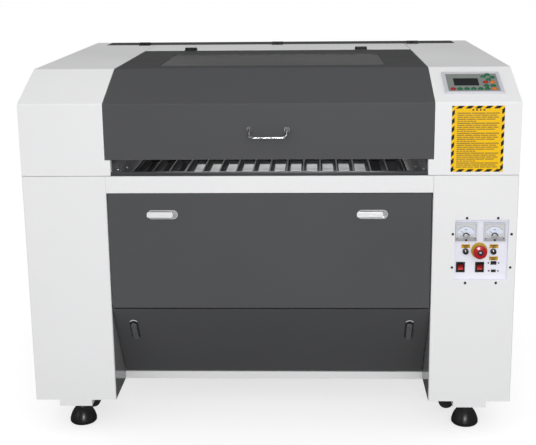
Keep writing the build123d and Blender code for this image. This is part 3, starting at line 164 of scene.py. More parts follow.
# ---------------------------------------------------------------- white cabinet
# Pedestals, upper housings, frame and back: folded steel sheet with a fine white powder
# coat, a little orange peel in it, and a paler tone painted on the folds as a highlight.
def new_group(name, inputs):
    """A node group with the given inputs that puts out a colour, a roughness and a normal."""
    group = bpy.data.node_groups.new(name, "ShaderNodeTree")
    for label, start in inputs.items():
        kind = "NodeSocketFloat"
        if isinstance(start, tuple):
            kind = "NodeSocketColor" if len(start) == 4 else "NodeSocketVector"
        made = group.interface.new_socket(name=label, in_out="INPUT", socket_type=kind)
        made.default_value = start
    for label, kind in (("Color", "NodeSocketColor"), ("Roughness", "NodeSocketFloat"),
                        ("Normal", "NodeSocketVector")):
        group.interface.new_socket(name=label, in_out="OUTPUT", socket_type=kind)
    given = group.nodes.new("NodeGroupInput").outputs
    return group, given, group.nodes.new("NodeGroupOutput").inputs


def edge_mask(tree, radius):
    """Rises from 0 to 1 where the surface turns within a radius: folds, rims and corners."""
    rounded = place(tree, "Bevel", {"Radius": radius}, samples=4)
    flat = place(tree, "NewGeometry", {}).outputs["Normal"]
    along = place(tree, "VectorMath", {0: rounded, 1: flat}, operation="DOT_PRODUCT")
    return place(tree, "MapRange", {"Value": along.outputs["Value"], "From Min": 0.98,
                                    "From Max": 0.80})


# Along folds, rims and corners, in patches, the coating turns to its edge colour: worn metal on the
# plated and dark finishes, a paler painted highlight on the white and grey coats.
coating, given, taken = new_group("coating", {
    "Color": (0.8, 0.8, 0.8, 1), "Worn And Lit Edge Color": (0.6, 0.6, 0.6, 1), "Roughness": 0.4,
    "Grain": 900.0, "Depth": 0.2, "Wear And Sheen": 0.3, "Tone": 0.03})
spot = place(coating, "TexCoord", {}).outputs["Object"]
cloud = place(coating, "TexNoise", {"Vector": spot, "Scale": 2.6, "Detail": 4.0})
grain = place(coating, "TexNoise", {"Vector": spot, "Scale": given["Grain"], "Detail": 2.0})
scuff = place(coating, "TexNoise", {"Vector": spot, "Scale": 60.0, "Detail": 5.0, "Roughness": 0.7})
swing = maths(coating, "SUBTRACT", cloud, 0.5)
tone = maths(coating, "MULTIPLY_ADD", swing, given["Tone"], 1.0)
toned = place(coating, "HueSaturation", {"Value": tone, "Color": given["Color"]})
edge_of = edge_mask(coating, 0.0016)
patchy = place(coating, "MapRange", {"Value": scuff, "From Min": 0.42, "From Max": 0.62})
worn_and_lit = maths(coating, "MULTIPLY", edge_of, patchy)
worn_and_lit = maths(coating, "MULTIPLY", worn_and_lit, given["Wear And Sheen"])
mixed = mix(coating, worn_and_lit, toned, given["Worn And Lit Edge Color"])
rough = maths(coating, "MULTIPLY_ADD", swing, 0.25, given["Roughness"])
bump = place(coating, "Bump", {"Strength": given["Depth"], "Distance": 0.0004, "Height": grain})
connect(coating, {"Color": mixed, "Roughness": rough, "Normal": bump}, taken)


def finish(name, shared, values, constants={}):
    """A Principled material whose colour, roughness and normal come from a shared group."""
    material, tree, shader = new_material(name, constants)
    effect = place(tree, "Group", {}, node_tree=shared)
    connect(tree, values, effect.inputs)
    outputs = effect.outputs
    connect(tree, {"Base Color": outputs["Color"], "Roughness": outputs["Roughness"],
                   "Normal": outputs["Normal"]}, shader)
    return material


def coated(name, colour, edge, rough, grain, depth, wear_and_sheen, tone, constants={}):
    """A coated finish: its colour, an edge colour that is worn metal on some finishes and
    a painted highlight on others, and the coating's measures.
    """
    return finish(name, coating, {
        "Color": colour + (1,), "Worn And Lit Edge Color": edge + (1,), "Roughness": rough, "Grain": grain,
        "Depth": depth, "Wear And Sheen": wear_and_sheen, "Tone": tone}, constants)


def dress(material, *names):
    """Gives CAD nodes a finish."""
    for name in names:
        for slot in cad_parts[name].material_slots:
            slot.material = material


white_coat = coated("white_powder_coat", (0.80, 0.802, 0.810), (0.95, 0.95, 0.95), rough=0.42,
                    grain=1100, depth=0.12, wear_and_sheen=0.35, tone=0.05)
dress(white_coat, "left_pedestal", "right_pedestal", "cabinet_frame", "back_panel", "left_side_housing",
      "right_side_housing", "rear_housing")
plate_coat = coated("instrument_plate_coat", (0.83, 0.83, 0.91), (0.6, 0.6, 0.66), rough=0.30,
                    grain=1100, depth=0.06, wear_and_sheen=0.2, tone=0.03)
dress(plate_coat, "instrument_panel")


def block(bm, low, high, radius=0.0, material=0):
    """A box between two corners, with its edges rounded."""
    made = bmesh.ops.create_cube(bm, size=1.0)["verts"]
    size = Vector(high) - Vector(low)
    bmesh.ops.scale(bm, vec=size, verts=made)
    bmesh.ops.translate(bm, vec=(Vector(high) + Vector(low)) / 2, verts=made)
    for face in {face for vert in made for face in vert.link_faces}:
        face.material_index = material
    if radius:
        edges = {edge for vert in made for edge in vert.link_edges}
        bmesh.ops.bevel(bm, geom=list(edges), offset=radius, segments=3, profile=0.5, affect="EDGES",
                        material=-1, clamp_overlap=True)


def turned_block(bm, matrix, low, high, radius=0.0, material=0):
    """A box that is put in place by a matrix."""
    own_bm = bmesh.new()
    block(own_bm, low, high, radius, material)
    bmesh.ops.transform(own_bm, matrix=matrix, verts=own_bm.verts)
    own_mesh = bpy.data.meshes.new("own")
    own_bm.to_mesh(own_mesh)
    own_bm.free()
    bm.from_mesh(own_mesh)
    bpy.data.meshes.remove(own_mesh)


def extrude(bm, faces, move):
    """Draws faces out along a vector; returns the moved corners."""
    grown = bmesh.ops.extrude_face_region(bm, geom=faces)["geom"]
    moved = [item for item in grown if isinstance(item, bmesh.types.BMVert)]
    bmesh.ops.translate(bm, vec=move, verts=moved)
    return moved


def turned(bm, profile, centre, axis, steps=24, material=0):
    """A turned shape: (radius, height) points spun about an axis through a centre."""
    axis = Vector(axis)
    outward = axis.orthogonal().normalized()
    points = [bm.verts.new(Vector(centre) + outward * r + axis * h) for r, h in profile]
    edges = [bm.edges.new(pair) for pair in zip(points, points[1:])]
    before = set(bm.faces)
    bmesh.ops.spin(bm, geom=points + edges, cent=centre, axis=axis, angle=math.tau, steps=steps,
                   use_merge=True)
    made = [face for face in bm.faces if face not in before]
    for face in made:
        face.material_index = material
    bmesh.ops.remove_doubles(bm, verts=list({v for face in made for v in face.verts}), dist=1e-7)


def add_piece(name, bm, body, slot, *materials):
    """Turns a finished bmesh of closed shells into an object that rides on a body."""
    bmesh.ops.recalc_face_normals(bm, faces=bm.faces)
    for face in bm.faces:
        face.smooth = True
    mesh = bpy.data.meshes.new(name)
    bm.to_mesh(mesh)
    bm.free()
    mesh.set_sharp_from_angle(angle=math.radians(38))
    for material in materials:
        mesh.materials.append(material)
    piece = bpy.data.objects.new(name, mesh)
    bpy.context.scene.collection.objects.link(piece)
    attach(piece, body)
    return piece


# ---------------------------------------------------------------- cooling louvres
# Rows of louvres pressed out of the outer sides of the pedestals and of the back panel,
# each a long bulge in the sheet with a black strip of painted shadow in the slot under it.
shadow_black = coated("slot_shadow", (0.012, 0.012, 0.013), (0.02, 0.02, 0.02), rough=0.8, grain=300,
                      depth=0.1, wear_and_sheen=0.0, tone=0.1)
louvre_length, louvre_height, louvre_proud, louvre_pitch = 0.150, 0.011, 0.0045, 0.024
louvre_rows, lowest_louvre, side_louvre_y, rear_louvre_xs = 9, 0.230, 0.22, (-0.32, 0.17)
slot_inset, slot_drop = 0.005, 0.004
sunk, slot_proud, louvre_round = 0.001, 0.0004, 0.0035
side_low, side_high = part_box("left_pedestal")
front, rear = side_low.y, side_high.y
louvre_bm = bmesh.new()
for row in range(louvre_rows):
    z = lowest_louvre + row * louvre_pitch
    for proud, inset, low, high, radius, material in (
            (louvre_proud, 0, z, z + louvre_height, louvre_round, 0),
            (slot_proud, slot_inset, z - slot_drop, z + sunk, 0, 1)):
        for side in (-1, 1):
            outer = side * -side_low.x
            left, right = sorted((outer - side * sunk, outer + side * proud))
            block(louvre_bm, (left, side_louvre_y + inset, low),
                  (right, side_louvre_y + louvre_length - inset, high), radius, material)
        for x in rear_louvre_xs:
            block(louvre_bm, (x + inset, rear - sunk, low),
                  (x + louvre_length - inset, rear + proud, high), radius, material)
add_piece("cooling_louvres", louvre_bm, "cabinet", "white_enamel", white_coat, shadow_black)

# ---------------------------------------------------------------- cabinet screws
# Black button-head machine screws with a hexagon socket, which close the back panel, the
# rear housing and the upper side housings.
black_zinc = coated("black_zinc", (0.018, 0.018, 0.020), (0.16, 0.16, 0.17), rough=0.38, grain=1500,
                    depth=0.08, wear_and_sheen=0.5, tone=0.3, constants={"Metallic": 0.35})


def button_screw(bm, centre, axis, radius, material=0):
    """Domed head with a socket in it; the head stands on the given point."""
    height = radius * 0.62
    dome = ((0, 0.35), (0.36, 0.35), (0.40, 1), (0.62, 0.94), (0.88, 0.60), (1, 0.12))
    profile = [(radius * r, height * h) for r, h in dome] + [(radius, -0.0006), (0, -0.0006)]
    turned(bm, profile, centre, axis, 14, material)


head_radius = 0.0045
rear_screws = [(x, z) for x in (-0.46, -0.23, 0.0, 0.23, 0.46) for z in (0.130, 0.795, 0.835, 1.020)]
rear_screws += [(side * 0.465, z) for side in (-1, 1) for z in (0.30, 0.46)]
side_screws = [(y, z) for y in (-0.50, -0.05, 0.40) for z in (0.780, 0.835)]
screw_bm = bmesh.new()
for x, z in rear_screws:
    button_screw(screw_bm, (x, rear, z), (0, 1, 0), head_radius)
for side in (-1, 1):
    for y, z in side_screws:
        button_screw(screw_bm, (side * -side_low.x, y, z), (side, 0, 0), head_radius)
add_piece("cabinet_screws", screw_bm, "cabinet", "black_zinc", black_zinc)

# ---------------------------------------------------------------- exhaust guard
# Wire guard welded inside the mouth of the exhaust collar: three rings on a cross, zinc
# plated.
zinc_wire = coated("zinc_wire", (0.55, 0.56, 0.57), (0.7, 0.7, 0.7), rough=0.32, grain=900, depth=0.1,
                   wear_and_sheen=0.2, tone=0.1, constants={"Metallic": 1.0})
panel_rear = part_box("back_panel")[1].y
collar_z = 0.640
collar_inside = 0.0735
wire = 0.0012
corners = [math.tau * i / 6 for i in range(7)]
guard_bm = bmesh.new()
for ring in (0.022, 0.045, 0.067):
    profile = [(ring + wire * math.cos(corner), wire * math.sin(corner)) for corner in corners]
    turned(guard_bm, profile, (0, panel_rear - 0.006, collar_z), (0, 1, 0), 40)
for angle in (0, math.pi / 2):
    spoke = Matrix.Rotation(angle, 3, "Y") @ Vector((1, 0, 0))
    start = Vector((0, panel_rear - 0.0085, collar_z)) - spoke * collar_inside
    turned(guard_bm, [(0, 0), (wire, 0), (wire, 2 * collar_inside), (0, 2 * collar_inside)], start,
           spoke, 6)
add_piece("exhaust_guard", guard_bm, "cabinet", "castor_steel", zinc_wire)

# ---------------------------------------------------------------- exhaust fan
# Axial fan behind the guard: a moulded black hub with eleven pitched blades in a ring
# that is screwed to the inside of the back panel.
fan_plastic = coated("fan_plastic", (0.016, 0.016, 0.017), (0.05, 0.05, 0.05), rough=0.45, grain=600,
                     depth=0.15, wear_and_sheen=0.2, tone=0.2)


def band(inner, outer, start, end):
    """The closed profile of a plain ring or tube."""
    return [(inner, start), (outer, start), (outer, end), (inner, end), (inner, start)]


fan_y = panel_rear - 0.030
fan_bm = bmesh.new()
turned(fan_bm, [(0, -0.009), (0.024, -0.009), (0.026, -0.006), (0.026, 0.008), (0.024, 0.010),
                (0, 0.011)], (0, fan_y, collar_z), (0, 1, 0), 32)
turned(fan_bm, band(0.068, 0.0728, -0.010, 0.010), (0, fan_y, collar_z), (0, 1, 0), 40)
blades = 11
pitch = Matrix.Rotation(math.radians(32), 4, "Z")
for i in range(blades):
    around = Matrix.Rotation(math.tau * i / blades, 4, "Y")
    turned_block(fan_bm, Matrix.Translation((0, fan_y, collar_z)) @ around @ pitch,
                 (-0.0105, -0.0008, 0.024), (0.0105, 0.0008, 0.0665), 0.0005)
add_piece("exhaust_fan", fan_bm, "cabinet", "black_plastic", fan_plastic)

# ---------------------------------------------------------------- toe recess
# The inner cheeks of the pedestals beside the lower door are lined with dark grey gloss
# sheet, cut along the lean of the door and bonded on.
# Its grey is set well lighter than the doors' grey: painted light that makes up for the shade in the
# recess.
lightened_cheek_gloss = coated("lightened_cheek_gloss", (0.21, 0.21, 0.215), (0.30, 0.30, 0.31), rough=0.12, grain=400,
                     depth=0.03, wear_and_sheen=0.2, tone=0.1)
cheek_outline = [(0.0045, 0.1125), (0.0045, 0.4060), (0.030, 0.4060), (0.205, 0.1125)]
cheek_x, cheek_thick = 0.4768, 0.0011
cheek_bm = bmesh.new()
for side in (-1, 1):
    outline = [cheek_bm.verts.new((side * cheek_x, front + y, z)) for y, z in cheek_outline]
    extrude(cheek_bm, [cheek_bm.faces.new(outline)], (side * cheek_thick, 0, 0))
add_piece("toe_recess_cheeks", cheek_bm, "cabinet", "grey_enamel", lightened_cheek_gloss)

# ---------------------------------------------------------------- scrap tray and bed
# Galvanised hopper tray under the bed, its sloping sides painted near black as shade, a frame
# of dark coated steel and blackened knife slats that stand on edge in it; ash and smoke dull them all.
tray_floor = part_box("scrap_tray")[0].z
tray_coat, tree, shader = new_material("tray_sheet", {"Specular IOR Level": 0.1})
spot = place(tree, "TexCoord", {}).outputs["Object"]
height = place(tree, "SeparateXYZ", {0: spot}).outputs["Z"]
slope = place(tree, "MapRange", {"Value": height, "From Min": tray_floor + 0.003,
                                 "From Max": tray_floor + 0.006})
ash = place(tree, "TexNoise", {"Vector": spot, "Scale": 9.0, "Detail": 6.0})
floor_tone = mix(tree, ash, (0.50, 0.51, 0.52, 1), (0.66, 0.67, 0.68, 1))
# Up the sloping sides the sheet is painted near black: painted shade for the deep chamber under the
# lid.
sheet_tone_with_painted_shade = mix(tree, slope, floor_tone, (0.014, 0.014, 0.016, 1))
ash_rough = spread(tree, ash, 0.35, 0.65)
connect(tree, {"Base Color": sheet_tone_with_painted_shade, "Roughness": ash_rough}, shader)
dress(tray_coat, "scrap_tray")

bed_coat = coated("bed_frame_coat", (0.045, 0.046, 0.050), (0.16, 0.16, 0.17), rough=0.38, grain=900,
                  depth=0.15, wear_and_sheen=0.5, tone=0.2)
slat_steel = coated("blackened_slat", (0.010, 0.010, 0.011), (0.16, 0.16, 0.17), rough=0.36, grain=250,
                    depth=0.2, wear_and_sheen=0.6, tone=0.5, constants={"Metallic": 0.5})
bed_low, bed_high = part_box("bed_frame")
slat_low, slat_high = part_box("knife_slats")
bed_top = slat_high.z
frame_front, frame_half, wall_gap, ledge_inner = front + 0.042, 0.456, 0.012, 0.408
bar_thick, ledge_thick, sheet_round = 0.012, 0.006, 0.0004
strip_low, strip_half, strip_height, strip_front = side_high.z, 0.469, 0.0097, front + 0.001
plate_height = 0.0012
bed_bm = bmesh.new()
for side in (-1, 1):
    for inner, outer, low, high in (
            (frame_half, bed_high.x - 0.0005, bed_low.z, bed_top),
            (frame_half + wall_gap, frame_half + wall_gap + 0.002, bed_top, bed_high.z),
            (ledge_inner, frame_half, bed_top - ledge_thick, bed_top)):
        left, right = sorted((side * inner, side * outer))
        block(bed_bm, (left, frame_front, low), (right, bed_high.y, high), sheet_round)
for near, far in ((frame_front, frame_front + bar_thick), (bed_high.y - bar_thick, bed_high.y)):
    block(bed_bm, (-frame_half, near, bed_low.z), (frame_half, far, bed_top), sheet_round)
block(bed_bm, (-strip_half, strip_front, strip_low),
      (strip_half, strip_front + bar_thick, strip_low + strip_height), 0.0006)
block(bed_bm, (-strip_half, front + 0.012, strip_low),
      (strip_half, front + 0.054, strip_low + plate_height))
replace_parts(add_piece("bed_frame_sheet", bed_bm, "cabinet", "grey_enamel", bed_coat), "bed_frame")

slats, slat_pitch, foot_half, edge_half, foot_height = 17, 0.050, 0.0085, 0.0020, 0.004
slat_profile = [(-foot_half, slat_low.z), (-foot_half, slat_low.z + foot_height), (-edge_half, bed_top),
                (edge_half, bed_top), (foot_half, slat_low.z + foot_height), (foot_half, slat_low.z)]
slat_bm = bmesh.new()
for i in range(slats):
    x = (i - slats // 2) * slat_pitch
    outline = [slat_bm.verts.new((x + dx, slat_low.y, z)) for dx, z in slat_profile]
    extrude(slat_bm, [slat_bm.faces.new(outline)], (0, slat_high.y - slat_low.y, 0))
rod_radius, rod_half, rod_drop = 0.004, 0.404, 0.018
for y in (front + 0.330, slat_high.y - 0.148):
    turned(slat_bm, [(0, 0), (rod_radius, 0), (rod_radius, 2 * rod_half), (0, 2 * rod_half)],
           (-rod_half, y, bed_top - rod_drop), (1, 0, 0), 16)
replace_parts(add_piece("slat_blades", slat_bm, "cabinet", "slat_aluminium", slat_steel), "knife_slats")

zinc_screw = coated("zinc_screw", (0.62, 0.62, 0.62), (0.75, 0.75, 0.75), rough=0.28, grain=900,
                    depth=0.05, wear_and_sheen=0.2, tone=0.1, constants={"Metallic": 1.0})
ledge_places = ((0.460, 0.095), (0.438, 0.130), (0.438, 0.330), (0.438, 0.520), (0.438, 0.690))
ledge_screws = bmesh.new()
for side in (-1, 1):
    for x, y in ledge_places:
        button_screw(ledge_screws, (side * x, front + y, bed_top), (0, 0, 1), 0.0042)
add_piece("bed_screws", ledge_screws, "cabinet", "castor_steel", zinc_screw)

# ---------------------------------------------------------------- rails, shaft and belts
# Ground steel rails and cross shaft on plated bearing blocks, a black stepper motor, and
# a toothed rubber belt along each side of the bed.
rolled, given, taken = new_group("rolled_metal", {
    "Color": (0.6, 0.6, 0.6, 1), "Roughness": 0.3, "Stretch": (1.0, 60.0, 60.0), "Depth": 0.1})
spot = place(rolled, "TexCoord", {}).outputs["Object"]
drawn = place(rolled, "Mapping", {"Vector": spot, "Scale": given["Stretch"]})
lines = place(rolled, "TexNoise", {"Vector": drawn, "Scale": 9.0, "Detail": 5.0, "Roughness": 0.65})
tone = spread(rolled, lines, 0.86, 1.12)
toned = place(rolled, "HueSaturation", {"Value": tone, "Color": given["Color"]})
swing = maths(rolled, "SUBTRACT", lines, 0.5)
rough = maths(rolled, "MULTIPLY_ADD", swing, 0.35, given["Roughness"])
bump = place(rolled, "Bump", {"Strength": given["Depth"], "Distance": 0.0002, "Height": lines})
connect(rolled, {"Color": toned, "Roughness": rough, "Normal": bump}, taken)


def metal(name, colour, rough, stretch, depth, metallic=1.0):
    """A rolled, ground or plated finish; stretch says which way its lines run."""
    return finish(name, rolled, {"Color": colour + (1,), "Roughness": rough, "Stretch": stretch,
                                 "Depth": depth}, {"Metallic": metallic})


ground_steel = metal("ground_steel", (0.55, 0.56, 0.58), rough=0.24, stretch=(60, 1, 60), depth=0.08)
shaft_steel = metal("shaft_steel", (0.55, 0.56, 0.58), rough=0.22, stretch=(1, 60, 60), depth=0.08)
motor_black = coated("motor_lacquer", (0.015, 0.015, 0.017), (0.3, 0.3, 0.3), rough=0.30, grain=600,
                     depth=0.1, wear_and_sheen=0.4, tone=0.3)
dress(ground_steel, "y_rails")
dress(shaft_steel, "y_drive_shaft")
dress(motor_black, "y_drive_motor", "x_drive")

belt_rubber = coated("belt_rubber", (0.018, 0.018, 0.018), (0.06, 0.06, 0.06), rough=0.72, grain=500,
                     depth=0.3, wear_and_sheen=0.3, tone=0.3)


def middle(node):
    """The centre of a CAD node's box."""
    low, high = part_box(node)
    return (low + high) / 2


shaft = middle("y_drive_shaft")
idler_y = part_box("y_rails")[0].y + 0.015
belt_radius, belt_thick, belt_width, belt_x, belt_steps = 0.0161, 0.0014, 0.009, 0.575, 40
belt_bm = bmesh.new()
for side in (-1, 1):
    ring = bmesh.ops.create_circle(belt_bm, radius=belt_radius, segments=belt_steps)["verts"]
    for angle, axis in ((math.pi / belt_steps, "Z"), (math.pi / 2, "Y")):
        turn = Matrix.Rotation(angle, 3, axis)
        bmesh.ops.rotate(belt_bm, verts=ring, cent=(0, 0, 0), matrix=turn)
    bmesh.ops.translate(belt_bm, verts=ring, vec=(side * belt_x - belt_width / 2, idler_y, shaft.z))
    far_half = [vert for vert in ring if vert.co.y > idler_y]
    bmesh.ops.translate(belt_bm, verts=far_half, vec=(0, shaft.y - idler_y, 0))
    edges = list({edge for vert in ring for edge in vert.link_edges})
    grown = bmesh.ops.extrude_edge_only(belt_bm, edges=edges)["geom"]
    bmesh.ops.translate(belt_bm, vec=(belt_width, 0, 0),
                        verts=[v for v in grown if isinstance(v, bmesh.types.BMVert)])
bmesh.ops.recalc_face_normals(belt_bm, faces=belt_bm.faces)
bmesh.ops.solidify(belt_bm, geom=belt_bm.faces[:], thickness=-belt_thick)
add_piece("y_belts", belt_bm, "cabinet", "wheel_rubber", belt_rubber)

# ---------------------------------------------------------------- gantry and cutting head
# Anodised aluminium extrusion on two carriages; the head's lens tube, mirror block and
# brass adjusting screws are turned parts that ride along it.
anodised = metal("clear_anodised", (0.66, 0.67, 0.69), rough=0.30, stretch=(1, 70, 70), depth=0.1)
dress(anodised, "gantry_beam", "laser_head")
brass = metal("brass", (0.72, 0.50, 0.20), rough=0.25, stretch=(40, 40, 40), depth=0.05)
head_low, head_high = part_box("laser_head")
head_x = middle("laser_head").x
knurled = [(0, -0.004), (0.0018, -0.004), (0.0018, 0.004), (0.0036, 0.0045), (0.0036, 0.0095),
           (0.003, 0.0105), (0, 0.0105)]
head_bm = bmesh.new()
for dx, dz in ((-0.013, -0.008), (0.013, -0.008), (0.013, -0.034)):
    turned(head_bm, knurled, (head_x + dx, head_low.y, head_high.z + dz), (0, -1, 0), 16)
add_piece("mirror_screws", head_bm, "head", "needle_red", brass)

lens_tube_y = head_low.y + 0.020
ring_heights = (0.900, 0.925, 0.950)
ring_bm = bmesh.new()
for z in ring_heights:
    turned(ring_bm, band(0.0142, 0.0165, -0.004, 0.004), (head_x, lens_tube_y, z), (0, 0, 1), 30)
red_anodised = metal("red_anodised", (0.50, 0.035, 0.030), rough=0.30, stretch=(30, 30, 30), depth=0.05)
add_piece("lens_tube_rings", ring_bm, "head", "red_plastic", red_anodised)

# ---------------------------------------------------------------- laser tube
# Sealed borosilicate tube: outer envelope, water jacket, discharge bore, a glass spiral
# for the gas return and a metal electrode with its end window at each end.
clear_glass, tree, shader = new_material("borosilicate", {
    "Base Color": (0.93, 0.97, 0.97, 1), "Transmission Weight": 1.0, "IOR": 1.47})
spot = place(tree, "TexCoord", {}).outputs["Object"]
haze = place(tree, "TexNoise", {"Scale": 30.0, "Detail": 3.0, "Vector": spot})
haze = spread(tree, haze, 0.01, 0.08)
connect(tree, {"Roughness": haze}, shader)

tube_low, tube_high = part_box("laser_tube")
tube_y, tube_z = middle("laser_tube").yz
tube_length = tube_high.x - tube_low.x
left_end, right_end = (tube_low.x, tube_y, tube_z), (tube_high.x, tube_y, tube_z)
neck, glass_wall = 0.0105, 0.0016
envelope = [(neck, 0.006), (neck, 0.042), (0.020, 0.050), (0.0290, 0.060), (0.0298, 0.066)]
wall = [(r - glass_wall, h) for r, h in reversed(envelope)]
far_end = [(r, tube_length - h) for r, h in reversed(envelope)]
far_wall = [(r - glass_wall, tube_length - h) for r, h in envelope]
tube_bm = bmesh.new()
turned(tube_bm, envelope + far_end + far_wall + wall + envelope[:1], left_end, (1, 0, 0), 40)
jacket_start, bore_start = 0.110, 0.050
turned(tube_bm, band(0.0148, 0.016, jacket_start, tube_length - jacket_start), left_end, (1, 0, 0), 28)
turned(tube_bm, band(0.0042, 0.0055, bore_start, tube_length - bore_start), left_end, (1, 0, 0), 20)
spiral_turns, turn_steps, spiral_pitch, spiral_radius, cane_radius = 9, 20, 0.016, 0.0205, 0.0022
spiral_start = Vector((tube_low.x + 0.130, tube_y, tube_z + spiral_radius))
loop = bmesh.ops.create_circle(tube_bm, radius=cane_radius, segments=8)["verts"]
about_x, about_z = Matrix.Rotation(math.pi / 2, 3, "X"), Matrix.Rotation(math.pi / 2, 3, "Z")
bmesh.ops.rotate(tube_bm, verts=loop, cent=(0, 0, 0), matrix=about_x)
bmesh.ops.translate(tube_bm, verts=loop, vec=spiral_start)
bmesh.ops.rotate(tube_bm, verts=loop, cent=spiral_start, matrix=about_z @ about_x)
loop_edges = list({edge for vert in loop for edge in vert.link_edges})
bmesh.ops.spin(tube_bm, geom=loop + loop_edges, cent=(0, tube_y, tube_z), axis=(1, 0, 0),
               dvec=(spiral_pitch / turn_steps, 0, 0), angle=math.tau * spiral_turns,
               steps=spiral_turns * turn_steps)
bmesh.ops.holes_fill(tube_bm, edges=[e for e in tube_bm.edges if e.is_boundary], sides=8)
tube_piece = add_piece("laser_tube_glass", tube_bm, "cabinet", "tube_glass", clear_glass)
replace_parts(tube_piece, "laser_tube")

electrode_bm = bmesh.new()
cap = [(0, 0), (0.0112, 0), (0.0112, 0.012), (0.0085, 0.014), (0.0085, 0.026), (0, 0.026)]
cathode = band(0.0125, 0.0135, 0, 0.034)
for end, inward in ((left_end, 1), (right_end, -1)):
    turned(electrode_bm, cap, end, (inward, 0, 0), 28)
    turned(electrode_bm, cathode, Vector(end) + Vector((0.068 * inward, 0, 0)), (inward, 0, 0), 28)
add_piece("tube_electrodes", electrode_bm, "cabinet", "rail_steel", shaft_steel)

mount_plastic = coated("mount_plastic", (0.020, 0.020, 0.021), (0.07, 0.07, 0.07), rough=0.5, grain=700,
                       depth=0.25, wear_and_sheen=0.3, tone=0.2)
dress(mount_plastic, "tube_mounts", "power_inlet")
dress(anodised, "power_supply")

# ---------------------------------------------------------------- controller
# Keypad controller let into the slope of the right housing: brushed bezel, grey-green
# membrane with domed rubber keys, and a black display pane.
housing_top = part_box("right_side_housing")[1].z
fold_z, slope_depth = 1.025, 0.209
slope_angle = math.atan2(housing_top - fold_z, slope_depth)
pad_x, pad_up = 0.597, 0.115
pad_y, pad_z = front + pad_up * math.cos(slope_angle), fold_z + pad_up * math.sin(slope_angle)
pad = Matrix.Translation((pad_x, pad_y, pad_z)) @ Matrix.Rotation(slope_angle, 4, "X")
bezel_metal = metal("bezel_metal", (0.70, 0.70, 0.75), rough=0.34, stretch=(1, 80, 80), depth=0.06,
                    metallic=0.25)
film = coated("keypad_film", (0.215, 0.235, 0.215), (0.2, 0.2, 0.2), rough=0.35, grain=1600, depth=0.10,
              wear_and_sheen=0.0, tone=0.15)
pane_black = coated("display_pane", (0.006, 0.009, 0.010), (0.02, 0.02, 0.02), rough=0.08, grain=100,
                    depth=0.01, wear_and_sheen=0.0, tone=0.3, constants={"Coat Weight": 0.6})
dress(bezel_metal, "control_bezel")
dress(film, "keypad_overlay")
dress(pane_black, "control_screen")


def key_rubber(name, colour):
    """Translucent moulded key in one colour."""
    dark = tuple(value * 0.35 for value in colour)
    return coated(name, colour, dark, rough=0.16, grain=500.0, depth=0.02, wear_and_sheen=0.4, tone=0.4,
                  constants={"Coat Weight": 0.5, "Subsurface Weight": 0.08})


first_key_x, key_row_y, key_pitch = -0.0602, -0.0395, 0.0198
key_row = [(first_key_x + key_pitch * i, key_row_y) for i in range(7)]
key_sets = {"red": ((0.36, 0.010, 0.014), [key_row[0], (0.0383, 0.001)]),
            "green": ((0.010, 0.130, 0.055), key_row[1:6] + [(0.0356, 0.0362), (0.0492, 0.048),
                                                             (0.0619, 0.0316), (0.0492, 0.0165),
                                                             (0.0388, -0.0206), (0.0582, -0.0206)]),
            "orange": ((0.62, 0.15, 0.012), [key_row[6], (0.0591, 0.001)]), }
key_half_size = (0.0080, 0.0073, 0.0046)
pad_face = 0.003
for colour_name, (colour, spots) in key_sets.items():
    key_bm = bmesh.new()
    for x, y in spots:
        dome = bmesh.ops.create_uvsphere(key_bm, u_segments=28, v_segments=16, radius=1.0)["verts"]
        bmesh.ops.scale(key_bm, vec=key_half_size, verts=dome)
        bmesh.ops.translate(key_bm, vec=(x, y, pad_face), verts=dome)
    bmesh.ops.bisect_plane(key_bm, geom=key_bm.verts[:] + key_bm.edges[:] + key_bm.faces[:],
                           plane_co=(0, 0, pad_face - 0.0002), plane_no=(0, 0, 1), clear_inner=True)
    bmesh.ops.holes_fill(key_bm, edges=[e for e in key_bm.edges if e.is_boundary], sides=40)
    bmesh.ops.transform(key_bm, matrix=pad, verts=key_bm.verts)
    add_piece("keys_" + colour_name, key_bm, "cabinet", "keypad_film", key_rubber("key_" + colour_name,
                                                                                  colour))

# ---------------------------------------------------------------- safety notice
# Printed vinyl notice on the right housing: yellow ground, black and yellow hazard border,
# and rows of plain bars in place of any wording.
label_low, label_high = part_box("warning_label")
centre = middle("warning_label")
border, stripe_pitch = 0.0080, 0.0235
stripe_lean, dark_share = 0.87, 0.58
vinyl, tree, shader = new_material("notice_vinyl", {"Specular IOR Level": 0.25})
spot = place(tree, "TexCoord", {}).outputs["Object"]
parts = place(tree, "SeparateXYZ", {0: spot})
across = maths(tree, "SUBTRACT", parts.outputs["X"], centre.x)
across = maths(tree, "ABSOLUTE", across)
upward = maths(tree, "SUBTRACT", parts.outputs["Z"], centre.z)
upward = maths(tree, "ABSOLUTE", upward)
near_side = maths(tree, "GREATER_THAN", across, (label_high.x - label_low.x) / 2 - border)
near_end = maths(tree, "GREATER_THAN", upward, (label_high.z - label_low.z) / 2 - border)
in_border = maths(tree, "MAXIMUM", near_side, near_end)
squat = maths(tree, "MULTIPLY", parts.outputs["X"], stripe_lean)
lean = maths(tree, "SUBTRACT", squat, parts.outputs["Z"])
beat = maths(tree, "FLOORED_MODULO", lean, stripe_pitch)
dark_part = maths(tree, "LESS_THAN", beat, stripe_pitch * dark_share)
inked = maths(tree, "MULTIPLY", dark_part, in_border)
fade = place(tree, "TexNoise", {"Vector": spot, "Scale": 14.0, "Detail": 3.0})
ground = mix(tree, fade, (0.84, 0.50, 0.003, 1), (0.92, 0.55, 0.004, 1))
printed = mix(tree, inked, ground, (0.015, 0.014, 0.012, 1))
gloss = spread(tree, fade, 0.25, 0.4)
connect(tree, {"Base Color": printed, "Roughness": gloss}, shader)
dress(vinyl, "warning_label")

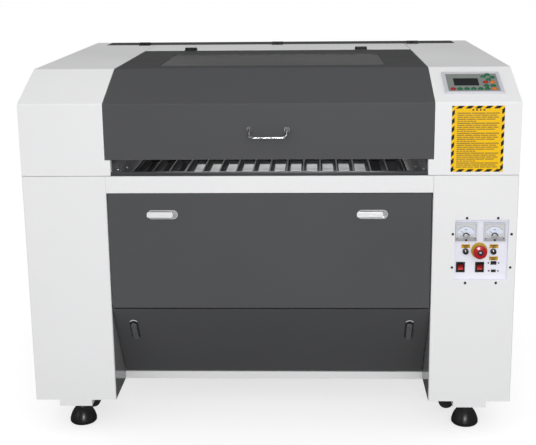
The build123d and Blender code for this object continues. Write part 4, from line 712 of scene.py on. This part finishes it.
print_black = coated("print_black", (0.020, 0.018, 0.014), (0.05, 0.05, 0.05), rough=0.45, grain=800,
                     depth=0.02, wear_and_sheen=0.0, tone=0.3)
ink = 0.00012
label_face = label_low.y
notice_bm = bmesh.new()
for i in range(4):
    x = centre.x - 0.0150 + 0.0105 * i
    block(notice_bm, (x - 0.0024, label_face - ink, label_high.z - 0.0142),
          (x + 0.0024, label_face + ink, label_high.z - 0.0098))
bar_left = label_low.x + 0.0155
bar_room = label_high.x - label_low.x - 0.028
for row in range(28):
    z = label_high.z - 0.0225 - row * 0.0058
    words = 3 + (row * 7) % 5
    row_end = bar_left + bar_room * (1.0, 0.94, 0.98, 0.90, 0.46)[row % 5]
    word = (row_end - bar_left) / words
    for i in range(words):
        block(notice_bm, (bar_left + word * i, label_face - ink, z),
              (bar_left + word * (i + 1) - 0.0020, label_face + ink, z + 0.0026), 0, 1)
print_brown = coated("print_brown", (0.22, 0.12, 0.012), (0.05, 0.05, 0.05), rough=0.45, grain=800,
                     depth=0.02, wear_and_sheen=0.0, tone=0.5)
add_piece("notice_print", notice_bm, "cabinet", "black_plastic", print_black, print_brown)

# ---------------------------------------------------------------- panel meters
# Two moving-coil meters in clear styrene cases: a white scale on a grey plate, a needle
# that swings in front of it, and a grey band with the zero screw under the window.
case_low, case_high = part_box("meter_cases")
meter_width = 0.063
meter_xs = (case_low.x + meter_width / 2, case_high.x - meter_width / 2)
case_z = middle("meter_cases").z
pivot_z = case_z - 0.0110
well_floor = case_low.y + 0.005
styrene = coated("meter_case", (0.58, 0.60, 0.63), (0.75, 0.76, 0.78), rough=0.14, grain=300,
                 depth=0.02, wear_and_sheen=0.4, tone=0.1, constants={"Coat Weight": 0.3})
dial_grey = coated("dial_plate", (0.60, 0.61, 0.62), (0.5, 0.5, 0.5), rough=0.5, grain=1200, depth=0.05,
                   wear_and_sheen=0.0, tone=0.08)
dial_white = coated("dial_scale", (0.74, 0.79, 0.95), (0.7, 0.7, 0.8), rough=0.5, grain=1200,
                    depth=0.03, wear_and_sheen=0.0, tone=0.06)
band_grey = metal("meter_band", (0.44, 0.44, 0.46), rough=0.35, stretch=(2, 60, 60), depth=0.05,
                  metallic=0.2)
dress(styrene, "meter_cases")

clear_styrene, tree, shader = new_material("clear_styrene", {
    "Base Color": (0.97, 0.98, 1.0, 1), "Alpha": 0.14, "IOR": 1.49})
spot = place(tree, "TexCoord", {}).outputs["Object"]
smear = place(tree, "TexNoise", {"Scale": 90.0, "Detail": 3.0, "Vector": spot})
smear = spread(tree, smear, 0.0, 0.06)
connect(tree, {"Roughness": smear}, shader)


def sector(bm, centre, inner, outer, half_angle, thick, material):
    """A flat ring sector, facing the operator and centred on the upright."""
    start = Matrix.Rotation(half_angle, 3, "Y") @ Vector((0, 0, 1))
    ends = [bm.verts.new(Vector(centre) + start * inner), bm.verts.new(Vector(centre) + start * outer)]
    edge = bm.edges.new(ends)
    before = set(bm.faces)
    bmesh.ops.spin(bm, geom=ends + [edge], cent=centre, axis=(0, -1, 0), angle=2 * half_angle, steps=24)
    extrude(bm, [face for face in bm.faces if face not in before], (0, -thick, 0))
    for face in bm.faces:
        if face not in before:
            face.material_index = material


half_dial, dial_low, dial_high = 0.0283, case_z - 0.0148, case_z + 0.0248
band_half, band_top, band_front = 0.0310, case_z - 0.0152, case_low.y - 0.0006
face_y = well_floor - 0.0004
dial_bm = bmesh.new()
pane_bm = bmesh.new()
for x in meter_xs:
    block(dial_bm, (x - half_dial, face_y, dial_low), (x + half_dial, well_floor, dial_high))
    sector(dial_bm, (x, face_y, pivot_z), 0.009, 0.0262, math.radians(74), 0.0002, 1)
    sector(dial_bm, (x, face_y, pivot_z), 0.0266, 0.0274, math.radians(54), 0.0003, 2)
    for i in range(11):
        turn = Matrix.Rotation(math.radians(-50 + 10 * i), 4, "Y")
        tick_end = 0.0300 if i % 5 == 0 else 0.0288
        turned_block(dial_bm, Matrix.Translation((x, face_y, pivot_z)) @ turn,
                     (-0.00022, -0.0003, 0.0268), (0.00022, 0, tick_end), 0, 2)
    block(dial_bm, (x - band_half, band_front, case_low.z + 0.0012),
          (x + band_half, case_low.y + 0.0002, band_top), 0.0004, 3)
    for side in (-1, 1):
        turned(dial_bm, [(0, 0), (0.0016, 0), (0.0016, 0.0008), (0, 0.0011)],
               (x + side * 0.026, band_front, case_low.z + 0.0085), (0, -1, 0), 14, 2)
    turned(dial_bm, [(0, 0), (0.0098, 0), (0.0098, 0.0012), (0.0090, 0.0018), (0, 0.0018)],
           (x, case_low.y - 0.0004, pivot_z - 0.001), (0, -1, 0), 36, 3)
    sector(dial_bm, (x, case_low.y - 0.0020, pivot_z - 0.001), 0.0074, 0.0104, math.radians(80), 0.0004,
           2)
    block(dial_bm, (x - 0.0036, face_y - 0.0004, pivot_z + 0.0158), (x + 0.0036, face_y, pivot_z
                                                                     + 0.0182), 0, 2)
    turned(dial_bm, [(0, 0), (0.0034, 0), (0.0034, 0.0014), (0.0026, 0.0020), (0, 0.0020)],
           (x, band_front, case_low.z + 0.0042), (0, -1, 0), 20, 2)
    block(pane_bm, (x - half_dial, case_low.y + 0.0004, dial_low),
          (x + half_dial, case_low.y + 0.0014, dial_high), 0.0002)
add_piece("meter_dials", dial_bm, "cabinet", "meter_plastic", dial_grey, dial_white, print_black,
          band_grey)
add_piece("meter_panes", pane_bm, "cabinet", "meter_plastic", clear_styrene)
needle_lacquer = coated("needle_lacquer", (0.035, 0.010, 0.010), (0.1, 0.02, 0.02), rough=0.4,
                        grain=800, depth=0.02, wear_and_sheen=0.1, tone=0.2)
dress(needle_lacquer, "needle_left", "needle_right")

# ---------------------------------------------------------------- switches and sockets
# Mushroom stop button in a yellow ring, two black knobs with a white pointer, two red
# rockers in black frames, two data ports, and small yellow tags with printed bars.
red_gloss = coated("red_gloss", (0.42, 0.006, 0.010), (0.60, 0.06, 0.06), rough=0.22, grain=500,
                   depth=0.03, wear_and_sheen=0.25, tone=0.1, constants={"Coat Weight": 0.4})
yellow_gloss = coated("yellow_gloss", (0.52, 0.36, 0.03), (0.7, 0.55, 0.15), rough=0.3, grain=500,
                      depth=0.03, wear_and_sheen=0.2, tone=0.1)
knob_black = coated("knob_black", (0.014, 0.014, 0.015), (0.08, 0.08, 0.08), rough=0.3, grain=900,
                    depth=0.08, wear_and_sheen=0.4, tone=0.2)
dress(red_gloss, "estop_head")

left_rocker, right_rocker = middle("rocker_left"), middle("rocker_right")
rocker_x, rocker_gap = (left_rocker.x + right_rocker.x) / 2, (right_rocker.x - left_rocker.x) / 2
rocker_lens, tree, shader = new_material("rocker_lens")
spot = place(tree, "TexCoord", {}).outputs["Object"]
parts = place(tree, "SeparateXYZ", {0: spot})
aside = maths(tree, "SUBTRACT", parts.outputs["X"], rocker_x)
aside = maths(tree, "ABSOLUTE", aside)
aside = maths(tree, "SUBTRACT", aside, rocker_gap)
aside = maths(tree, "ABSOLUTE", aside)
aside = place(tree, "MapRange", {"Value": aside, "From Min": 0.0078, "From Max": 0.0072})
rise = maths(tree, "SUBTRACT", parts.outputs["Z"], left_rocker.z + 0.0012)
rise_off = maths(tree, "ABSOLUTE", rise)
rise_off = place(tree, "MapRange", {"Value": rise_off, "From Min": 0.0086, "From Max": 0.0080})
in_lens = maths(tree, "MULTIPLY", aside, rise_off)
# The lower part of each lens is painted bright pink, mottled by noise, as a highlight; above it the
# lens keeps a darker red.
painted_highlight = place(tree, "MapRange", {"Value": rise, "From Min": 0.003, "From Max": -0.006})
molten = place(tree, "TexNoise", {"Vector": spot, "Scale": 220.0, "Detail": 2.0})
painted_highlight = maths(tree, "MULTIPLY", painted_highlight, molten)
lens_red_painted_light = mix(tree, painted_highlight, (0.20, 0.003, 0.004, 1), (1.0, 0.10, 0.09, 1))
shown = mix(tree, in_lens, (0.008, 0.008, 0.008, 1), lens_red_painted_light)
sheen = spread(tree, molten, 0.12, 0.3)
connect(tree, {"Base Color": shown, "Roughness": sheen}, shader)
dress(rocker_lens, "rocker_left", "rocker_right")
dress(yellow_gloss, "estop_collar")
dress(knob_black, "knob_left", "knob_right")
dress(black_zinc, "panel_screws")
dress(mount_plastic, "panel_sockets")

pointer_white = coated("pointer_white", (0.80, 0.80, 0.82), (0.6, 0.6, 0.6), rough=0.4, grain=600,
                       depth=0.02, wear_and_sheen=0.2, tone=0.05)
for name in ("knob_left", "knob_right"):
    knob_face = middle(name)
    knob_face.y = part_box(name)[0].y
    lean_left = Matrix.Translation(knob_face) @ Matrix.Rotation(math.radians(-20), 4, "Y")
    pointer_bm = bmesh.new()
    turned_block(pointer_bm, lean_left, (-0.0013, -0.0004, 0.0012), (0.0013, 0.0009, 0.0084), 0.0003)
    add_piece(name + "_pointer", pointer_bm, name, "white_enamel", pointer_white)

badge_blue = coated("badge_print", (0.05, 0.07, 0.16), (0.4, 0.45, 0.6), rough=0.25, grain=500,
                    depth=0.02, wear_and_sheen=0.3, tone=0.2)
stop_centre = middle("estop_head")
stop_centre.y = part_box("estop_head")[0].y
badge_bm = bmesh.new()
turned(badge_bm, [(0, -0.001), (0.0082, -0.001), (0.0082, 0.0003), (0.0076, 0.0007), (0.0060, 0.0007),
                  (0.0056, 0.0003), (0, 0.0003)], stop_centre, (0, -1, 0), 32, 0)
turned(badge_bm, [(0, 0), (0.0046, 0), (0.0042, 0.0010), (0, 0.0012)], stop_centre, (0, -1, 0), 24, 1)
sector(badge_bm, stop_centre + Vector((0, -0.0012, 0)), 0.0020, 0.0034, math.radians(100), 0.0002, 2)
block(badge_bm, stop_centre + Vector((-0.0006, -0.0014, -0.0005)),
      stop_centre + Vector((0.0006, -0.0011, 0.0026)), 0, 2)
add_piece("estop_badge", badge_bm, "estop", "black_plastic", knob_black, badge_blue, pointer_white)

plate_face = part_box("panel_sockets")[0].y + 0.002
tag_yellow = coated("tag_vinyl", (0.62, 0.34, 0.008), (0.4, 0.22, 0.02), rough=0.35, grain=700,
                    depth=0.02, wear_and_sheen=0.3, tone=0.2)
tag_bm = bmesh.new()
tag_half_width, tag_half_height = 0.0130, 0.0059
tag_bars = ((-0.0095, 0.0090), (-0.0060, 0.0055))
for x, z in ((0.5783, 0.5968), (0.6610, 0.5968), (0.6610, 0.5592)):
    block(tag_bm, (x - tag_half_width, plate_face - 0.0006, z - tag_half_height),
          (x + tag_half_width, plate_face + 0.0002, z + tag_half_height), 0.0002)
    for row, (left, right) in enumerate(tag_bars):
        low = z + 0.0004 - row * 0.0044
        block(tag_bm, (x + left, plate_face - 0.0008, low), (x + right, plate_face, low + 0.0026), 0, 1)
add_piece("panel_tags", tag_bm, "cabinet", "label_yellow", tag_yellow, print_black)

port_steel = metal("port_shell", (0.10, 0.10, 0.11), rough=0.25, stretch=(40, 40, 40), depth=0.05)
port_bm = bmesh.new()
mouth_y, rim, port_depth, mouth_depth = plate_face - 0.0006, 0.0005, 0.009, 0.007
for x, z, wide, high in ((0.6615, 0.5455, 0.0125, 0.0065), (0.6620, 0.5210, 0.0095, 0.0036)):
    mouth = bmesh.ops.create_grid(port_bm, x_segments=1, y_segments=1, size=0.5)["verts"]
    bmesh.ops.scale(port_bm, vec=(wide, high, 1), verts=mouth)
    bmesh.ops.rotate(port_bm, verts=mouth, cent=(0, 0, 0), matrix=about_x)
    bmesh.ops.translate(port_bm, verts=mouth, vec=(x, mouth_y, z))
    extrude(port_bm, list({face for vert in mouth for face in vert.link_faces}), (0, port_depth, 0))
    hole = [face for face in port_bm.faces if all(abs(v.co.y - mouth_y) < 1e-6 for v in face.verts)
            and abs(face.calc_center_median().z - z) < 0.001]
    bmesh.ops.inset_region(port_bm, faces=hole, thickness=rim)
    inward = extrude(port_bm, hole, (0, 0, 0))
    bmesh.ops.delete(port_bm, geom=hole, context="FACES_ONLY")
    bmesh.ops.translate(port_bm, vec=(0, mouth_depth, 0), verts=inward)
add_piece("port_shells", port_bm, "cabinet", "rail_steel", port_steel)

# ---------------------------------------------------------------- hinge screws
# Black zinc plated butt hinges, with three screws of the same finish through each of
# their leaves.
def leaf_screws(name, body, *rows):
    """Screws through hinge leaves, in rows of leaf places at one distance from the front."""
    leaf_bm = bmesh.new()
    for xs, y in rows:
        for x in [x + dx for x in xs for dx in (-screw_pitch, 0, screw_pitch)]:
            turned(leaf_bm, cross_head, (x, y, leaf_top), (0, 0, 1), 14)
    add_piece(name, leaf_bm, body, "castor_steel", black_zinc)


dress(black_zinc, "hinge_bases", "lid_hinge_leaves", "rear_cover_hinge_leaves")
leaf_top = housing_top + 0.003
cross_head = [(0, 0.0002), (0.0012, 0.0002), (0.0014, 0.0008), (0.0030, 0.0006), (0.0034, 0),
              (0.0034, -0.0006), (0, -0.0006)]
screw_pitch, screw_offset = 0.014, 0.016
lid_axis_y, cover_axis_y = front + 0.808, front + 1.051
lid_xs, cover_xs = (-0.312, 0.300), (-0.517, -0.008, 0.505)
leaf_screws("hinge_base_screws", "cabinet", (lid_xs, lid_axis_y + screw_offset),
            (cover_xs, cover_axis_y - screw_offset))
leaf_screws("lid_leaf_screws", "lid", (lid_xs, lid_axis_y - screw_offset))
leaf_screws("cover_leaf_screws", "tube_cover", (cover_xs, cover_axis_y + screw_offset))

# ---------------------------------------------------------------- lid, covers and doors
# Dark grey satin powder coat over folded steel, its folds painted paler as a highlight; the lid
# carries a smoked acrylic window bonded from below, and a chrome bow handle screwed through the front.
grey_coat = coated("grey_powder_coat", (0.080, 0.081, 0.084), (0.42, 0.42, 0.43), rough=0.42,
                   grain=1000, depth=0.16, wear_and_sheen=0.45, tone=0.12, constants={"Specular IOR Level": 0.12})
dress(grey_coat, "main_lid", "rear_cover", "upper_door", "lower_door")

# The strong cloudy swings of tone over the pane are painted reflection.
smoked_pane_painted_reflection = coated("smoked_acrylic", (0.100, 0.101, 0.103), (0.1, 0.1, 0.1), rough=0.16, grain=40,
                depth=0.02, wear_and_sheen=0.0, tone=1.6, constants={"IOR": 1.49, "Coat Weight": 0.3})
dress(smoked_pane_painted_reflection, "lid_window")

chrome = metal("chrome_plate", (0.80, 0.80, 0.82), rough=0.20, stretch=(3, 3, 3), depth=0.01)
dress(chrome, "lid_handle")

# ---------------------------------------------------------------- flush latches
# Die-cast trays and levers pressed into the doors, plated in satin chrome, with light and shade
# painted into their tones: upper levers near white as a highlight, upper cups mid grey as shade
# under the levers, and the lower pair, which leans into shade, darker, with the top of each cup painted
# bright.
lit_satin_chrome = metal("lit_satin_chrome", (0.93, 0.93, 0.94), rough=0.24, stretch=(3, 20, 20), depth=0.03,
                     metallic=0.20)
dress(lit_satin_chrome, "upper_latch_lever_left", "upper_latch_lever_right")
shaded_cup_chrome = metal("shaded_cup_chrome", (0.60, 0.60, 0.62), rough=0.24, stretch=(3, 20, 20), depth=0.03,
                   metallic=0.20)
dress(shaded_cup_chrome, "upper_latch_trays")
shaded_lever_chrome = metal("shaded_lever_chrome", (0.13, 0.13, 0.135), rough=0.24, stretch=(20, 20, 3), depth=0.03,
                    metallic=0.20)
dress(shaded_lever_chrome, "lower_latch_lever_left", "lower_latch_lever_right")

cup_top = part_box("lower_latch_trays")[1].z
shaded_chrome, tree, shader = new_material("shaded_chrome", {"Metallic": 0.25})
spot = place(tree, "TexCoord", {}).outputs["Object"]
height = place(tree, "SeparateXYZ", {0: spot}).outputs["Z"]
# The top band of each lower cup is painted near white as a highlight, and the rest painted dark as
# shade.
painted_highlight_band = place(tree, "MapRange", {"Value": height, "From Min": cup_top - 0.0125,
                                  "From Max": cup_top - 0.0095})
handled = place(tree, "TexNoise", {"Vector": spot, "Scale": 120.0, "Detail": 4.0})
painted_shade_tone = mix(tree, handled, (0.045, 0.045, 0.048, 1), (0.085, 0.085, 0.09, 1))
shown = mix(tree, painted_highlight_band, painted_shade_tone, (0.95, 0.95, 0.96, 1))
polish = spread(tree, handled, 0.15, 0.35)
connect(tree, {"Base Color": shown, "Roughness": polish}, shader)
dress(shaded_chrome, "lower_latch_trays")

# ---------------------------------------------------------------- feet and castors
# Moulded rubber pads with a plated stem and nut, and swivel castors of black pressed
# steel with rubber tyres.
stem_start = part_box("levelling_feet")[0].z + 0.0525
foot_rubber, tree, shader = new_material("foot_rubber")
effect = place(tree, "Group", {}, node_tree=coating)
connect(tree, {"Color": (0.014, 0.014, 0.014, 1), "Worn And Lit Edge Color": (0.05, 0.05, 0.05, 1),
               "Roughness": 0.28, "Grain": 300.0, "Depth": 0.15, "Wear And Sheen": 0.3, "Tone": 0.4},
        effect.inputs)
spot = place(tree, "TexCoord", {}).outputs["Object"]
height = place(tree, "SeparateXYZ", {0: spot}).outputs["Z"]
above = maths(tree, "GREATER_THAN", height, stem_start)
shown = mix(tree, above, effect.outputs["Color"], (0.55, 0.55, 0.56, 1))
connect(tree, {"Base Color": shown, "Metallic": above, "Roughness": effect.outputs["Roughness"],
               "Normal": effect.outputs["Normal"]}, shader)
dress(foot_rubber, "levelling_feet")

castor_steel = coated("castor_steel", (0.030, 0.030, 0.032), (0.3, 0.3, 0.3), rough=0.35, grain=700,
                      depth=0.1, wear_and_sheen=0.5, tone=0.3, constants={"Metallic": 0.4})
tyre_rubber = coated("tyre_rubber", (0.020, 0.020, 0.020), (0.05, 0.05, 0.05), rough=0.55, grain=400,
                     depth=0.3, wear_and_sheen=0.4, tone=0.3)
for end in ("front", "rear"):
    for side_name in ("left", "right"):
        dress(castor_steel, f"castor_fork_{end}_{side_name}")
        dress(tyre_rubber, f"castor_wheel_{end}_{side_name}")
